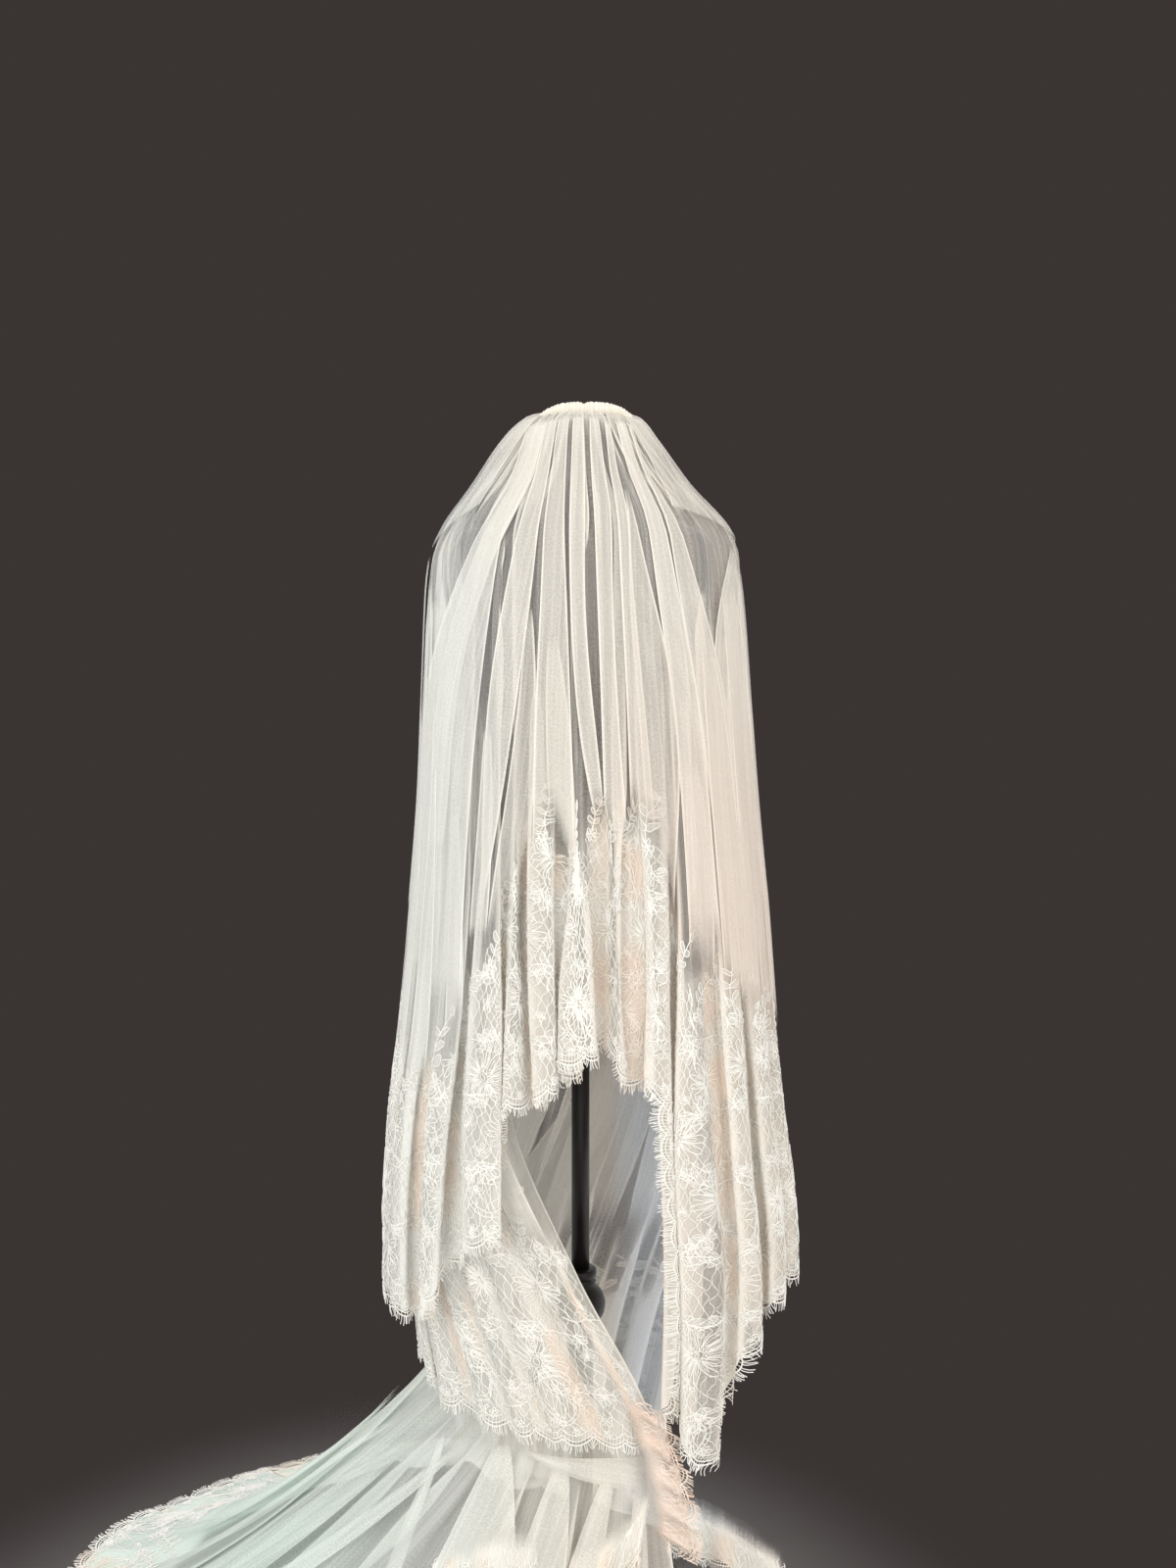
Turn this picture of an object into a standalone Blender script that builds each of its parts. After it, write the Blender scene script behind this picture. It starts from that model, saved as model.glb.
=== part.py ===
"""Two-tier lace-edged bridal veil with a train, resting on a limbless dress form.

Metres, +Z up. The origin is on the floor, on the axis of the form's pole. The front of the
veil faces -Y and the train is drawn out to -X. Angles run round the pole in degrees: 0 is the
front, 90 the +X side, 180 the back and 270 the -X side.
"""

import math
from bisect import bisect_right
from collections import namedtuple

import bmesh
import bpy
from mathutils import Vector

# Walls and gaps
WALL = 0.0012
GAP = 0.0003
SKIN_STEP = 0.0018  # from the middle of one wall to the middle of the one laid on it

MITRE_LIMIT = 0.50  # how far a wall's corner may be drawn out on a sharp fold

# The heading, gathered over the comb
HEADING_WIDTH = 0.117
HEADING_SHIFT = 0.007
HEADING_BOTTOM = 1.5885
HEADING_TOP = 1.6070
HEADING_DEPTH = 0.022
HEADING_PUCKERS = 14
PUCKER_DEPTH = 0.0022
PUCKER_BULGE = 0.6  # of its depth, to the front and the back
HEADING_FALL = 0.42  # of its height, at its two ends
HEADING_FALL_POWER = 3
HEADING_NARROWS = 0.35  # of its depth, at its two ends
TIER_TOP = 1.5875

# The comb
COMB_WIDTH = 0.066
COMB_TEETH = 10
COMB_TOOTH = 0.0125
COMB_THICK = 0.0013
COMB_SPINE = 0.0036
SPINE_LENGTH_SHARE = 0.96
SPINE_DEPTH_SHARE = 0.8
TOOTH_TAPER = 0.2  # of the teeth's pitch, on each side

# The form
TORSO_SHIFT = 0.006
TORSO_SIDES = 24
NECK_TOP = 1.556
CAP_TOP = 1.5787
POLE_RADIUS = 0.012
TORSO_BOTTOM = 0.84
POST_TOP = 0.4585
BASE_RADIUS = 0.150
BASE_THICK = 0.016
BASE_EDGE = 0.003
TURNED_STEPS = 20

# Where the pleats are at full width, and where they reach the places of the hem
SPREAD_HEIGHT = 1.40
WAIST_HEIGHT = 1.10
HEM_HEIGHT = 0.45

# Round and up the unpleated cloth, the steps that give which way it faces
ENVELOPE_TURN = 1.0
ENVELOPE_RISE = 0.012

# The half pitch of a pleat, as shares of its width: valley floor, then ridge
VALLEY_SHARE = 0.17
RIDGE_SHARE = 0.30
FOLD_PARTING = 3.0  # degrees between the free flap and the first valley

# A gap cut through a cell of the lace lies between these shares of it
GAP_START = 0.25
GAP_END = 0.75

# The train
TRAIN_TUCK = 0.028
TRAIN_HANG = 0.0295
TUCK_STEP = 0.0067  # from the middle of the back tier's wall to the middle of the train's
TRAIN_ROWS = (0.10, 0.30, 0.52, 0.74, 1.0)
TRAIN_RIDGE = 0.016
TRAIN_RIDGE_END = 0.9  # of the way out, where the ridges stay as they are
FLOOR_HEIGHT = WALL / 2 + 0.0002

# The eyelash fringe
STRIP_PART = 0.0012  # from the lace's edge
STRIP_HEIGHT = 0.0025
STRAND_LENGTH = 0.0096
STRAND_SHARE = 0.16

# The outer cloth's cross-section: height, then how far it reaches each way from the pole
Ring = namedtuple("Ring", "z left right front back")
ENVELOPE = (
    Ring(0.05, 0.232, 0.250, 0.205, 0.218),
    Ring(0.35, 0.240, 0.268, 0.200, 0.206),
    Ring(0.50, 0.250, 0.275, 0.194, 0.192),
    Ring(0.65, 0.246, 0.261, 0.184, 0.172),
    Ring(0.80, 0.229, 0.247, 0.172, 0.154),
    Ring(0.95, 0.216, 0.237, 0.163, 0.142),
    Ring(1.10, 0.206, 0.225, 0.158, 0.134),
    Ring(1.25, 0.202, 0.217, 0.153, 0.130),
    Ring(1.35, 0.200, 0.213, 0.141, 0.127),
    Ring(1.40, 0.195, 0.208, 0.134, 0.124),
    Ring(1.43, 0.183, 0.196, 0.128, 0.119),
    Ring(1.49, 0.142, 0.144, 0.107, 0.103),
    Ring(1.55, 0.102, 0.102, 0.075, 0.074),
    Ring(1.576, 0.076, 0.083, 0.056, 0.056),
    Ring(TIER_TOP, 0.050, 0.064, 0.006, 0.006),
)

# The heading's section, as shares of its half depth and its height; its underside is flat
Corner = namedtuple("Corner", "depth height")
HEADING_SECTION = (
    Corner(-0.60, 0.00),
    Corner(0.60, 0.00),
    Corner(1.00, 0.34),
    Corner(0.86, 0.76),
    Corner(0.34, 1.00),
    Corner(-0.34, 1.00),
    Corner(-0.86, 0.76),
    Corner(-1.00, 0.34),
)

# Pleat depth of each tier, and how far the back tier lies inside the front one
Depth = namedtuple("Depth", "z front back inset")
DEPTHS = (
    Depth(0.05, 0.014, 0.011, 0.038),
    Depth(0.50, 0.013, 0.010, 0.036),
    Depth(0.80, 0.010, 0.008, 0.030),
    Depth(1.10, 0.0075, 0.006, 0.024),
    Depth(1.25, 0.0055, 0.004, 0.0175),
    Depth(1.40, 0.0028, 0.0018, 0.0090),
    Depth(1.49, 0.0020, 0.0014, 0.0075),
    Depth(1.576, 0.0012, 0.0009, 0.0045),
    Depth(TIER_TOP, 0.0, 0.0, 0.0),
)

# The front tier's valleys: angle at the waist, angle at the hem, depth against the table above
Fold = namedtuple("Fold", "waist hem depth")
FRONT_FOLDS = (
    Fold(-114, -113, 0.9),
    Fold(-98, -98, 1.1),
    Fold(-82, -83, 0.8),
    Fold(-66, -69, 1.1),
    Fold(-51, -54, 0.9),
    Fold(-36, -38, 1.5),
    Fold(-26, -23, 0.8),
    Fold(-17, -11, 1.4),
    Fold(-6, -3, 0.7),
    Fold(5, 6, 1.6),
    Fold(16, 14, 0.8),
    Fold(28, 27, 1.5),
    Fold(40, 41, 0.9),
    Fold(53, 54, 1.3),
    Fold(68, 69, 0.8),
    Fold(84, 84, 1.1),
    Fold(100, 99, 0.9),
    Fold(115, 114, 1.0),
)
FRONT_EDGE_TOP = 78.0
FRONT_EDGE = 128.0

# The front tier's hem and the top of its lace, round the form
Hem = namedtuple("Hem", "angle hem lace")
FRONT_HEM = (
    Hem(-128, 0.640, 0.900),
    Hem(-112, 0.560, 0.860),
    Hem(-98, 0.515, 0.820),
    Hem(-90, 0.545, 0.850),
    Hem(-82, 0.475, 0.800),
    Hem(-66, 0.450, 0.770),
    Hem(-53, 0.455, 0.755),
    Hem(-38, 0.530, 0.840),
    Hem(-26, 0.590, 0.960),
    Hem(-22, 0.710, 0.985),
    Hem(-9, 0.735, 1.085),
    Hem(-2, 0.762, 1.030),
    Hem(7, 0.800, 1.085),
    Hem(11, 0.762, 1.040),
    Hem(16, 0.746, 1.090),
    Hem(20, 0.740, 1.070),
    Hem(24, 0.370, 1.050),
    Hem(30, 0.345, 0.920),
    Hem(36, 0.300, 0.900),
    Hem(40, 0.345, 0.890),
    Hem(45, 0.405, 0.880),
    Hem(52, 0.445, 0.855),
    Hem(62, 0.465, 0.840),
    Hem(80, 0.480, 0.810),
    Hem(88, 0.545, 0.830),
    Hem(97, 0.500, 0.800),
    Hem(112, 0.560, 0.830),
    Hem(128, 0.640, 0.880),
)
LACE_ZIGZAG = 0.020
SCALLOP = 0.006
FRONT_ROWS = (TIER_TOP, 1.576, 1.55, 1.49, 1.43, 1.40, 1.25)
FRONT_LACE_ROWS = (0.0, 0.28, 0.52, 0.76, 1.0)

# The back tier: its two free edges by height, then its hem and the top of its lace by the
# share of the way from the +X edge round the back to the edge that crosses the front
Edges = namedtuple("Edges", "z right left")
BACK_EDGES = (
    Edges(0.05, 152, 392),
    Edges(0.31, 140, 383),
    Edges(0.50, 128, 361),
    Edges(0.72, 114, 336),
    Edges(1.10, 104, 322),
    Edges(1.40, 104, 306),
    Edges(1.49, 100, 292),
    Edges(1.576, 93, 271),
    Edges(TIER_TOP, 102, 258),
)
BackHem = namedtuple("BackHem", "share hem lace")
BACK_HEM = (
    BackHem(0.00, 0.165, 0.400),
    BackHem(0.12, 0.120, 0.380),
    BackHem(0.26, 0.120, 0.380),
    BackHem(0.36, 0.190, 0.440),
    BackHem(0.46, 0.280, 0.520),
    BackHem(0.56, 0.366, 0.590),
    BackHem(0.62, 0.370, 0.600),
    BackHem(0.68, 0.345, 0.585),
    BackHem(0.84, 0.330, 0.600),
    BackHem(1.00, 0.312, 0.570),
)
BACK_PLEATS = 16
BACK_PLEAT_START = 0.25  # of a pleat
BACK_PLEAT_SWAY = 0.10  # of a pleat
BACK_SWAY_TURN = 2.1
BACK_PLEAT_DEPTH = 0.85
BACK_DEPTH_SWAY = 0.25
BACK_DEPTH_TURN = 1.7
BACK_DEPTH_PHASE = 0.6
BACK_ROWS = (TIER_TOP, 1.576, 1.55, 1.49, 1.43, 1.40, 1.25)
BACK_LACE_ROWS = (0.0, 0.36, 0.72, 1.0)

# The train's hem on the floor, and how fast it comes down to it
TrainRay = namedtuple("TrainRay", "share x y fall")
TRAIN_RAYS = (
    TrainRay(0.00, 0.300, 0.050, 7.0),
    TrainRay(0.07, 0.220, 0.130, 5.0),
    TrainRay(0.14, 0.105, 0.225, 3.0),
    TrainRay(0.24, -0.035, 0.325, 2.2),
    TrainRay(0.35, -0.225, 0.395, 1.9),
    TrainRay(0.45, -0.490, 0.320, 1.8),
    TrainRay(0.55, -0.695, 0.120, 1.9),
    TrainRay(0.65, -0.725, -0.120, 1.7),
    TrainRay(0.75, -0.610, -0.350, 1.7),
    TrainRay(0.84, -0.360, -0.520, 2.0),
    TrainRay(0.93, -0.060, -0.540, 2.0),
    TrainRay(1.00, 0.170, -0.440, 2.0),
)

# The form's cross-sections: height, half width, reach to the front and to the back
Section = namedtuple("Section", "z side front back")
TORSO = (
    Section(TORSO_BOTTOM, 0.140, 0.095, 0.100),
    Section(0.855, 0.158, 0.106, 0.112),
    Section(0.90, 0.166, 0.110, 0.116),
    Section(0.96, 0.160, 0.106, 0.108),
    Section(1.03, 0.136, 0.094, 0.084),
    Section(1.09, 0.121, 0.086, 0.074),
    Section(1.15, 0.130, 0.094, 0.080),
    Section(1.22, 0.147, 0.118, 0.090),
    Section(1.27, 0.156, 0.124, 0.096),
    Section(1.33, 0.164, 0.104, 0.101),
    Section(1.385, 0.172, 0.086, 0.100),
    Section(1.415, 0.171, 0.077, 0.094),
    Section(1.435, 0.152, 0.068, 0.086),
    Section(1.452, 0.115, 0.060, 0.076),
    Section(1.475, 0.072, 0.053, 0.063),
    Section(1.505, 0.055, 0.050, 0.052),
    Section(NECK_TOP, 0.048, 0.047, 0.047),
)

Turn = namedtuple("Turn", "z radius")
POST = (
    Turn(POST_TOP, 0.0135),
    Turn(0.4572, 0.0195),
    Turn(0.4520, 0.0215),
    Turn(0.4470, 0.0200),
    Turn(0.4440, 0.0170),
    Turn(0.4405, 0.0205),
    Turn(0.4370, 0.0185),
    Turn(0.4320, 0.0230),
    Turn(0.4240, 0.0295),
    Turn(0.4120, 0.0330),
    Turn(0.4000, 0.0315),
    Turn(0.3900, 0.0250),
    Turn(0.3820, 0.0185),
    Turn(0.3600, 0.0165),
    Turn(0.0700, 0.0165),
    Turn(0.0400, 0.0230),
    Turn(0.0220, 0.0380),
    Turn(BASE_THICK + GAP, 0.0400),
)
CAP = (
    Turn(CAP_TOP, 0.0),
    Turn(1.5778, 0.016),
    Turn(1.5746, 0.030),
    Turn(1.5690, 0.041),
    Turn(1.5610, 0.0475),
    Turn(NECK_TOP + GAP, 0.0485),
    Turn(NECK_TOP + GAP, 0.0),
)

# Finishes: linear colour, roughness, metallic
TULLE = ("tulle", (0.78, 0.74, 0.65), 0.75, 0.0)
LACE = ("lace", (0.86, 0.82, 0.71), 0.70, 0.0)
JERSEY = ("form_jersey", (0.055, 0.058, 0.065), 0.85, 0.0)
BLACK = ("black_lacquer", (0.012, 0.011, 0.011), 0.35, 0.0)
CLEAR = ("comb_plastic", (0.70, 0.66, 0.58), 0.30, 0.0)


def table_value(rows, key, column, at):
    """The named column of a table at a key, by straight lines between its rows."""
    keys = [getattr(row, key) for row in rows]
    if at <= keys[0]:
        return getattr(rows[0], column)
    if at >= keys[-1]:
        return getattr(rows[-1], column)
    low = bisect_right(keys, at) - 1
    share = (at - keys[low]) / (keys[low + 1] - keys[low])
    first = getattr(rows[low], column)
    return first + (getattr(rows[low + 1], column) - first) * share


def ease(share):
    """0 to 1, level at both ends."""
    share = min(max(share, 0.0), 1.0)
    return share * share * (3 - 2 * share)


def envelope_point(angle, z):
    """A point of the cloth's cross-section at height z."""
    across = math.sin(math.radians(angle))
    along = math.cos(math.radians(angle))
    side = table_value(ENVELOPE, "z", "right" if across >= 0 else "left", z)
    depth = table_value(ENVELOPE, "z", "front" if along >= 0 else "back", z)
    return Vector((side * across, -depth * along, z))


def cloth_point(angle, z, out):
    """A point of the cross-section moved out square to the unpleated cloth."""
    here = envelope_point(angle, z)
    after = envelope_point(angle + ENVELOPE_TURN, z)
    round_it = after - envelope_point(angle - ENVELOPE_TURN, z)
    top = min(z + ENVELOPE_RISE, TIER_TOP)
    down = envelope_point(angle, top) - envelope_point(angle, top - 2 * ENVELOPE_RISE)
    outward = round_it.cross(down)
    return here + outward.normalized() * out


def outward_steps(grid):
    """For each point of the rows, the step that moves it one unit out of its own folded
    surface. Every wall on one panel uses the same steps, so that what is laid on it keeps its
    distance on the ridges, the valleys and the sides."""
    rows = len(grid)
    columns = len(grid[0])
    steps = []
    for r in range(rows):
        row = []
        for c in range(columns):
            normals = []
            for r0 in (max(r - 1, 0), min(r, rows - 2)):
                for c0 in (max(c - 1, 0), min(c, columns - 2)):
                    across = grid[r0][c0 + 1] - grid[r0][c0]
                    across += grid[r0 + 1][c0 + 1] - grid[r0 + 1][c0]
                    down = grid[r0 + 1][c0] - grid[r0][c0]
                    down += grid[r0 + 1][c0 + 1] - grid[r0][c0 + 1]
                    normals.append(down.cross(across).normalized())
            mean = sum(normals, Vector()).normalized()
            least = min(mean.dot(normal) for normal in normals)
            row.append(mean / max(least, MITRE_LIMIT))
        steps.append(row)
    return steps


def moved(grid, steps, distance):
    """The rows of points moved out by a distance along their steps."""
    return [
        [point + step * distance for point, step in zip(row, row_steps)]
        for row, row_steps in zip(grid, steps)
    ]


def front_angle(waist, hem, order, z):
    """Where a column of the front tier stands at height z: evenly spread at the heading,
    at its waist angle below the shoulders and at its hem angle low down."""
    top = FRONT_EDGE_TOP * order
    spread = ease((TIER_TOP - z) / (TIER_TOP - SPREAD_HEIGHT))
    low = ease((WAIST_HEIGHT - z) / (WAIST_HEIGHT - HEM_HEIGHT))
    return top + (waist + (hem - waist) * low - top) * spread


def front_columns():
    """(waist angle, hem angle, order from -1 to 1, offset) for each column."""
    columns = [(-FRONT_EDGE, -FRONT_EDGE, 0.0)]
    for fold, after in zip(FRONT_FOLDS, FRONT_FOLDS[1:] + (None,)):
        if fold is FRONT_FOLDS[0]:
            columns.append((fold.waist - FOLD_PARTING, fold.hem - FOLD_PARTING, -fold.depth))
        if after is None:
            columns.append((fold.waist + FOLD_PARTING, fold.hem + FOLD_PARTING, -fold.depth))
            continue
        waist = after.waist - fold.waist
        hem = after.hem - fold.hem
        for share, offset in (
            (VALLEY_SHARE, -fold.depth),
            (RIDGE_SHARE, 1.0),
            (1 - RIDGE_SHARE, 1.0),
            (1 - VALLEY_SHARE, -after.depth),
        ):
            columns.append((fold.waist + waist * share, fold.hem + hem * share, offset))
    columns.append((FRONT_EDGE, FRONT_EDGE, 0.0))
    last = len(columns) - 1
    return [(w, h, 2 * i / last - 1, offset) for i, (w, h, offset) in enumerate(columns)]


def front_grid():
    """Rows of points of the front tier; its lace rows are the last ones."""
    columns = front_columns()
    tops = []
    hems = []
    for i, (_, hem_angle, _, _) in enumerate(columns):
        zigzag = LACE_ZIGZAG if i % 4 < 2 else -LACE_ZIGZAG
        tops.append(table_value(FRONT_HEM, "angle", "lace", hem_angle) + zigzag)
        scallop = SCALLOP if i % 2 else -SCALLOP
        hems.append(table_value(FRONT_HEM, "angle", "hem", hem_angle) + scallop)
    heights = [[z] * len(columns) for z in FRONT_ROWS]
    heights += [
        [top + (hem - top) * share for top, hem in zip(tops, hems)]
        for share in FRONT_LACE_ROWS
    ]
    grid = []
    for row in heights:
        points = []
        for (waist, hem, order, offset), z in zip(columns, row):
            depth = table_value(DEPTHS, "z", "front", z)
            angle = front_angle(waist, hem, order, z)
            points.append(cloth_point(angle, z, depth * offset))
        grid.append(points)
    return grid


def back_columns():
    """(share from the +X edge to the crossing edge, offset) for each column."""
    columns = [(0.0, 0.0)]
    pitch = 1.0 / (BACK_PLEATS + 0.5)
    for i in range(BACK_PLEATS):
        sway = BACK_PLEAT_SWAY * math.sin(BACK_SWAY_TURN * i)
        start = pitch * (i + BACK_PLEAT_START + sway)
        turn = BACK_DEPTH_TURN * i + BACK_DEPTH_PHASE
        depth = BACK_PLEAT_DEPTH + BACK_DEPTH_SWAY * math.sin(turn)
        for share, offset in (
            (VALLEY_SHARE, -depth),
            (RIDGE_SHARE, 1.0),
            (1 - RIDGE_SHARE, 1.0),
            (1 - VALLEY_SHARE, -depth),
        ):
            columns.append((start + pitch * share, offset))
    columns.append((1.0, 0.0))
    return columns


def back_point(share, offset, z):
    """A point of the back tier at a share of its width and a height."""
    right = table_value(BACK_EDGES, "z", "right", z)
    left = table_value(BACK_EDGES, "z", "left", z)
    depth = table_value(DEPTHS, "z", "back", z)
    inset = table_value(DEPTHS, "z", "inset", z)
    return cloth_point(right + (left - right) * share, z, depth * offset - inset)


def back_heights():
    """The heights of the back tier's lace top and hem for each column."""
    tops = []
    hems = []
    for i, (share, _) in enumerate(back_columns()):
        zigzag = LACE_ZIGZAG if i % 4 < 2 else -LACE_ZIGZAG
        tops.append(table_value(BACK_HEM, "share", "lace", share) + zigzag)
        scallop = SCALLOP if i % 2 else -SCALLOP
        hems.append(table_value(BACK_HEM, "share", "hem", share) + scallop)
    return tops, hems


def back_grid():
    """Rows of points of the back tier; its lace rows are the last ones."""
    tops, hems = back_heights()
    heights = [[z] * len(tops) for z in BACK_ROWS]
    heights += [
        [top + (hem - top) * share for top, hem in zip(tops, hems)]
        for share in BACK_LACE_ROWS
    ]
    return [
        [back_point(share, offset, z) for (share, offset), z in zip(back_columns(), row)]
        for row in heights
    ]


def train_grid():
    """Rows of points of the train, from inside the back tier's hem out over the floor."""
    _, hems = back_heights()
    columns = back_columns()
    tucked = [
        [back_point(share, offset, hem + rise) for (share, offset), hem in zip(columns, hems)]
        for rise in (TRAIN_TUCK, -TRAIN_HANG)
    ]
    grid = moved(tucked, outward_steps(tucked), -TUCK_STEP)
    hang = grid[-1]
    for row in TRAIN_ROWS:
        points = []
        for (share, offset), start in zip(columns, hang):
            target = Vector((
                table_value(TRAIN_RAYS, "share", "x", share),
                table_value(TRAIN_RAYS, "share", "y", share),
                FLOOR_HEIGHT,
            ))
            fall = table_value(TRAIN_RAYS, "share", "fall", share)
            point = start.lerp(target, row)
            point.z = FLOOR_HEIGHT + (start.z - FLOOR_HEIGHT) * (1 - row) ** fall
            swell = math.sin(math.pi * min(row, TRAIN_RIDGE_END))
            point.z += max(TRAIN_RIDGE * (1 + offset) / 2 * swell, 0.0)
            points.append(point)
        grid.append(points)
    return grid


def material(finish):
    """The finish's material, made once."""
    name, colour, roughness, metallic = finish
    found = bpy.data.materials.get(name)
    if found:
        return found
    made = bpy.data.materials.new(name)
    made.use_nodes = True
    shader = made.node_tree.nodes["Principled BSDF"]
    shader.inputs["Base Color"].default_value = (*colour, 1.0)
    shader.inputs["Roughness"].default_value = roughness
    shader.inputs["Metallic"].default_value = metallic
    made.diffuse_color = (*colour, 1.0)
    return made


def new_object(name, points, faces, finish, group, smooth=False):
    """A mesh object from points and faces."""
    mesh = bpy.data.meshes.new(name)
    mesh.from_pydata([tuple(point) for point in points], [], faces)
    mesh.materials.append(material(finish))
    if smooth:
        mesh.shade_smooth()
    made = bpy.data.objects.new(name, mesh)
    group.objects.link(made)
    return made


def wall(name, points, steps, middle, triangles, finish, group):
    """A closed wall round a surface of triangles, its middle lying `middle` out of the points
    and its open edges closed by a rim."""
    count = len(points)
    layers = [point + step * (middle - WALL / 2) for point, step in zip(points, steps)]
    layers += [point + step * (middle + WALL / 2) for point, step in zip(points, steps)]
    sides = {(t[i], t[(i + 1) % 3]) for t in triangles for i in range(3)}
    rims = sorted(side for side in sides if side[::-1] not in sides)
    faces = [(a + count, b + count, c + count) for a, b, c in triangles]
    faces += [(c, b, a) for a, b, c in triangles]
    faces += [(b + count, a + count, a, b) for a, b in rims]
    new_object(name, layers, faces, finish, group)


def panel(name, grid, steps, middle, finish, group, holed=None):
    """A wall over rows of points. A cell for which holed(row, column) is true gets a gap in
    its middle, half as wide and half as high as the cell."""
    width = len(grid[0])
    points = [point for row in grid for point in row]
    moves = [step for row in steps for step in row]
    triangles = []
    for r in range(len(grid) - 1):
        for c in range(width - 1):
            corner = r * width + c
            below = corner + width
            if not (holed and holed(r, c)):
                triangles.append((corner, below, below + 1))
                triangles.append((corner, below + 1, corner + 1))
                continue
            ring = (corner, below, below + 1, corner + 1)
            first = len(points)
            for values in (points, moves):
                top_left, low_left, low_right, top_right = [values[i] for i in ring]
                across = low_right - low_left
                down = low_left - top_left
                values.append(top_left + (down + across) * GAP_START)
                values.append(top_left + down * GAP_END + across * GAP_START)
                values.append(top_left + (down + across) * GAP_END)
                across = top_right - top_left
                down = low_right - top_right
                values.append(top_left + across * GAP_END + down * GAP_START)
            for k in range(4):
                after = (k + 1) % 4
                triangles.append((ring[k], ring[after], first + after))
                triangles.append((ring[k], first + after, first + k))
    wall(name, points, moves, middle, triangles, finish, group)


def lace(name, grid, steps, group, shift=0):
    """The lace laid on the rows of points, cut through at the largest gaps of its repeat: two
    to a pleat, set in turn from row to row. `shift` is its first column in the border."""
    last_row = len(grid) - 2
    last_column = len(grid[0]) - 2

    def holed(row, column):
        inside = 0 < row < last_row and 0 < column < last_column
        turn = 0 if row % 2 else 2
        return inside and (column + shift - 1) % 4 == turn

    panel(name, grid, steps, SKIN_STEP, LACE, group, holed)


def front_border(grid, steps, group):
    """The front tier's lace, parted down the middle into two nodes."""
    middle = len(grid[0]) // 2
    left = [row[:middle + 1] for row in grid]
    left_steps = [row[:middle + 1] for row in steps]
    lace("front_lace_left", left, left_steps, group)
    right = [row[middle:] for row in grid]
    for row in right:
        row[0] = row[0] + (row[1] - row[0]).normalized() * (GAP + 0.0001)
    lace("front_lace_right", right, [row[middle:] for row in steps], group, middle)


def fringe(name, grid, steps, group):
    """A narrow strip below the hem, the last of the rows, with one strand for each stretch
    between two columns."""
    hem = [point + step * SKIN_STEP for point, step in zip(grid[-1], steps[-1])]
    falls = []
    hangs = []
    for c in range(len(hem) - 1):
        along = hem[c + 1] - hem[c]
        up = grid[-2][c] - grid[-1][c] + grid[-2][c + 1] - grid[-1][c + 1]
        falls.append(-(up - along * up.dot(along) / along.length_squared).normalized())
        hangs.append((falls[c] - up.normalized()).normalized())
    ends = [falls[0]]
    for before, after in zip(falls, falls[1:]):
        mean = (before + after).normalized()
        ends.append(mean / max(mean.dot(before), MITRE_LIMIT))
    ends.append(falls[-1])
    points = [point + end * STRIP_PART for point, end in zip(hem, ends)]
    moves = list(steps[-1])
    triangles = []
    lows = [point + end * (STRIP_PART + STRIP_HEIGHT) for point, end in zip(hem, ends)]
    points += lows
    moves += steps[-1]
    for c in range(len(hem) - 1):
        middle = (lows[c] + lows[c + 1]) / 2
        half = (lows[c + 1] - lows[c]) * STRAND_SHARE
        first = len(points)
        points += [middle - half, middle + hangs[c] * STRAND_LENGTH, middle + half]
        moves += [(steps[-1][c] + steps[-1][c + 1]) / 2] * 3
        low = c + len(hem)
        triangles += [(c, low, first), (c, first, first + 2), (first, first + 1, first + 2)]
        triangles += [(c, first + 2, low + 1), (c, low + 1, c + 1)]
    wall(name, points, moves, 0.0, triangles, LACE, group)


def heading(group):
    """The puckered ruffle over the comb: its sections side by side, uneven in height."""
    stations = 2 * HEADING_PUCKERS
    round_it = len(HEADING_SECTION)
    points = []
    faces = []
    for i in range(stations + 1):
        across = 2 * i / stations - 1
        pucker = PUCKER_DEPTH if i % 2 else -PUCKER_DEPTH
        fall = 1 - HEADING_FALL * abs(across) ** HEADING_FALL_POWER
        height = (HEADING_TOP - HEADING_BOTTOM) * fall + pucker / 2
        narrow = 1 - HEADING_NARROWS * across * across
        depth = HEADING_DEPTH * narrow / 2 + pucker * PUCKER_BULGE
        for corner in HEADING_SECTION:
            points.append(Vector((
                HEADING_SHIFT + across * HEADING_WIDTH / 2,
                depth * corner.depth,
                HEADING_BOTTOM + height * corner.height,
            )))
    for i in range(stations):
        for k in range(round_it):
            a = i * round_it + k
            b = i * round_it + (k + 1) % round_it
            faces.append((a, b, b + round_it, a + round_it))
    faces.append(tuple(reversed(range(round_it))))
    faces.append(tuple(range(stations * round_it, (stations + 1) * round_it)))
    made = new_object("heading", points, faces, TULLE, group)
    face_out(made)


def face_out(made):
    """Turns a closed mesh's faces outward."""
    work = bmesh.new()
    work.from_mesh(made.data)
    bmesh.ops.recalc_face_normals(work, faces=work.faces)
    work.to_mesh(made.data)
    work.free()


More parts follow.
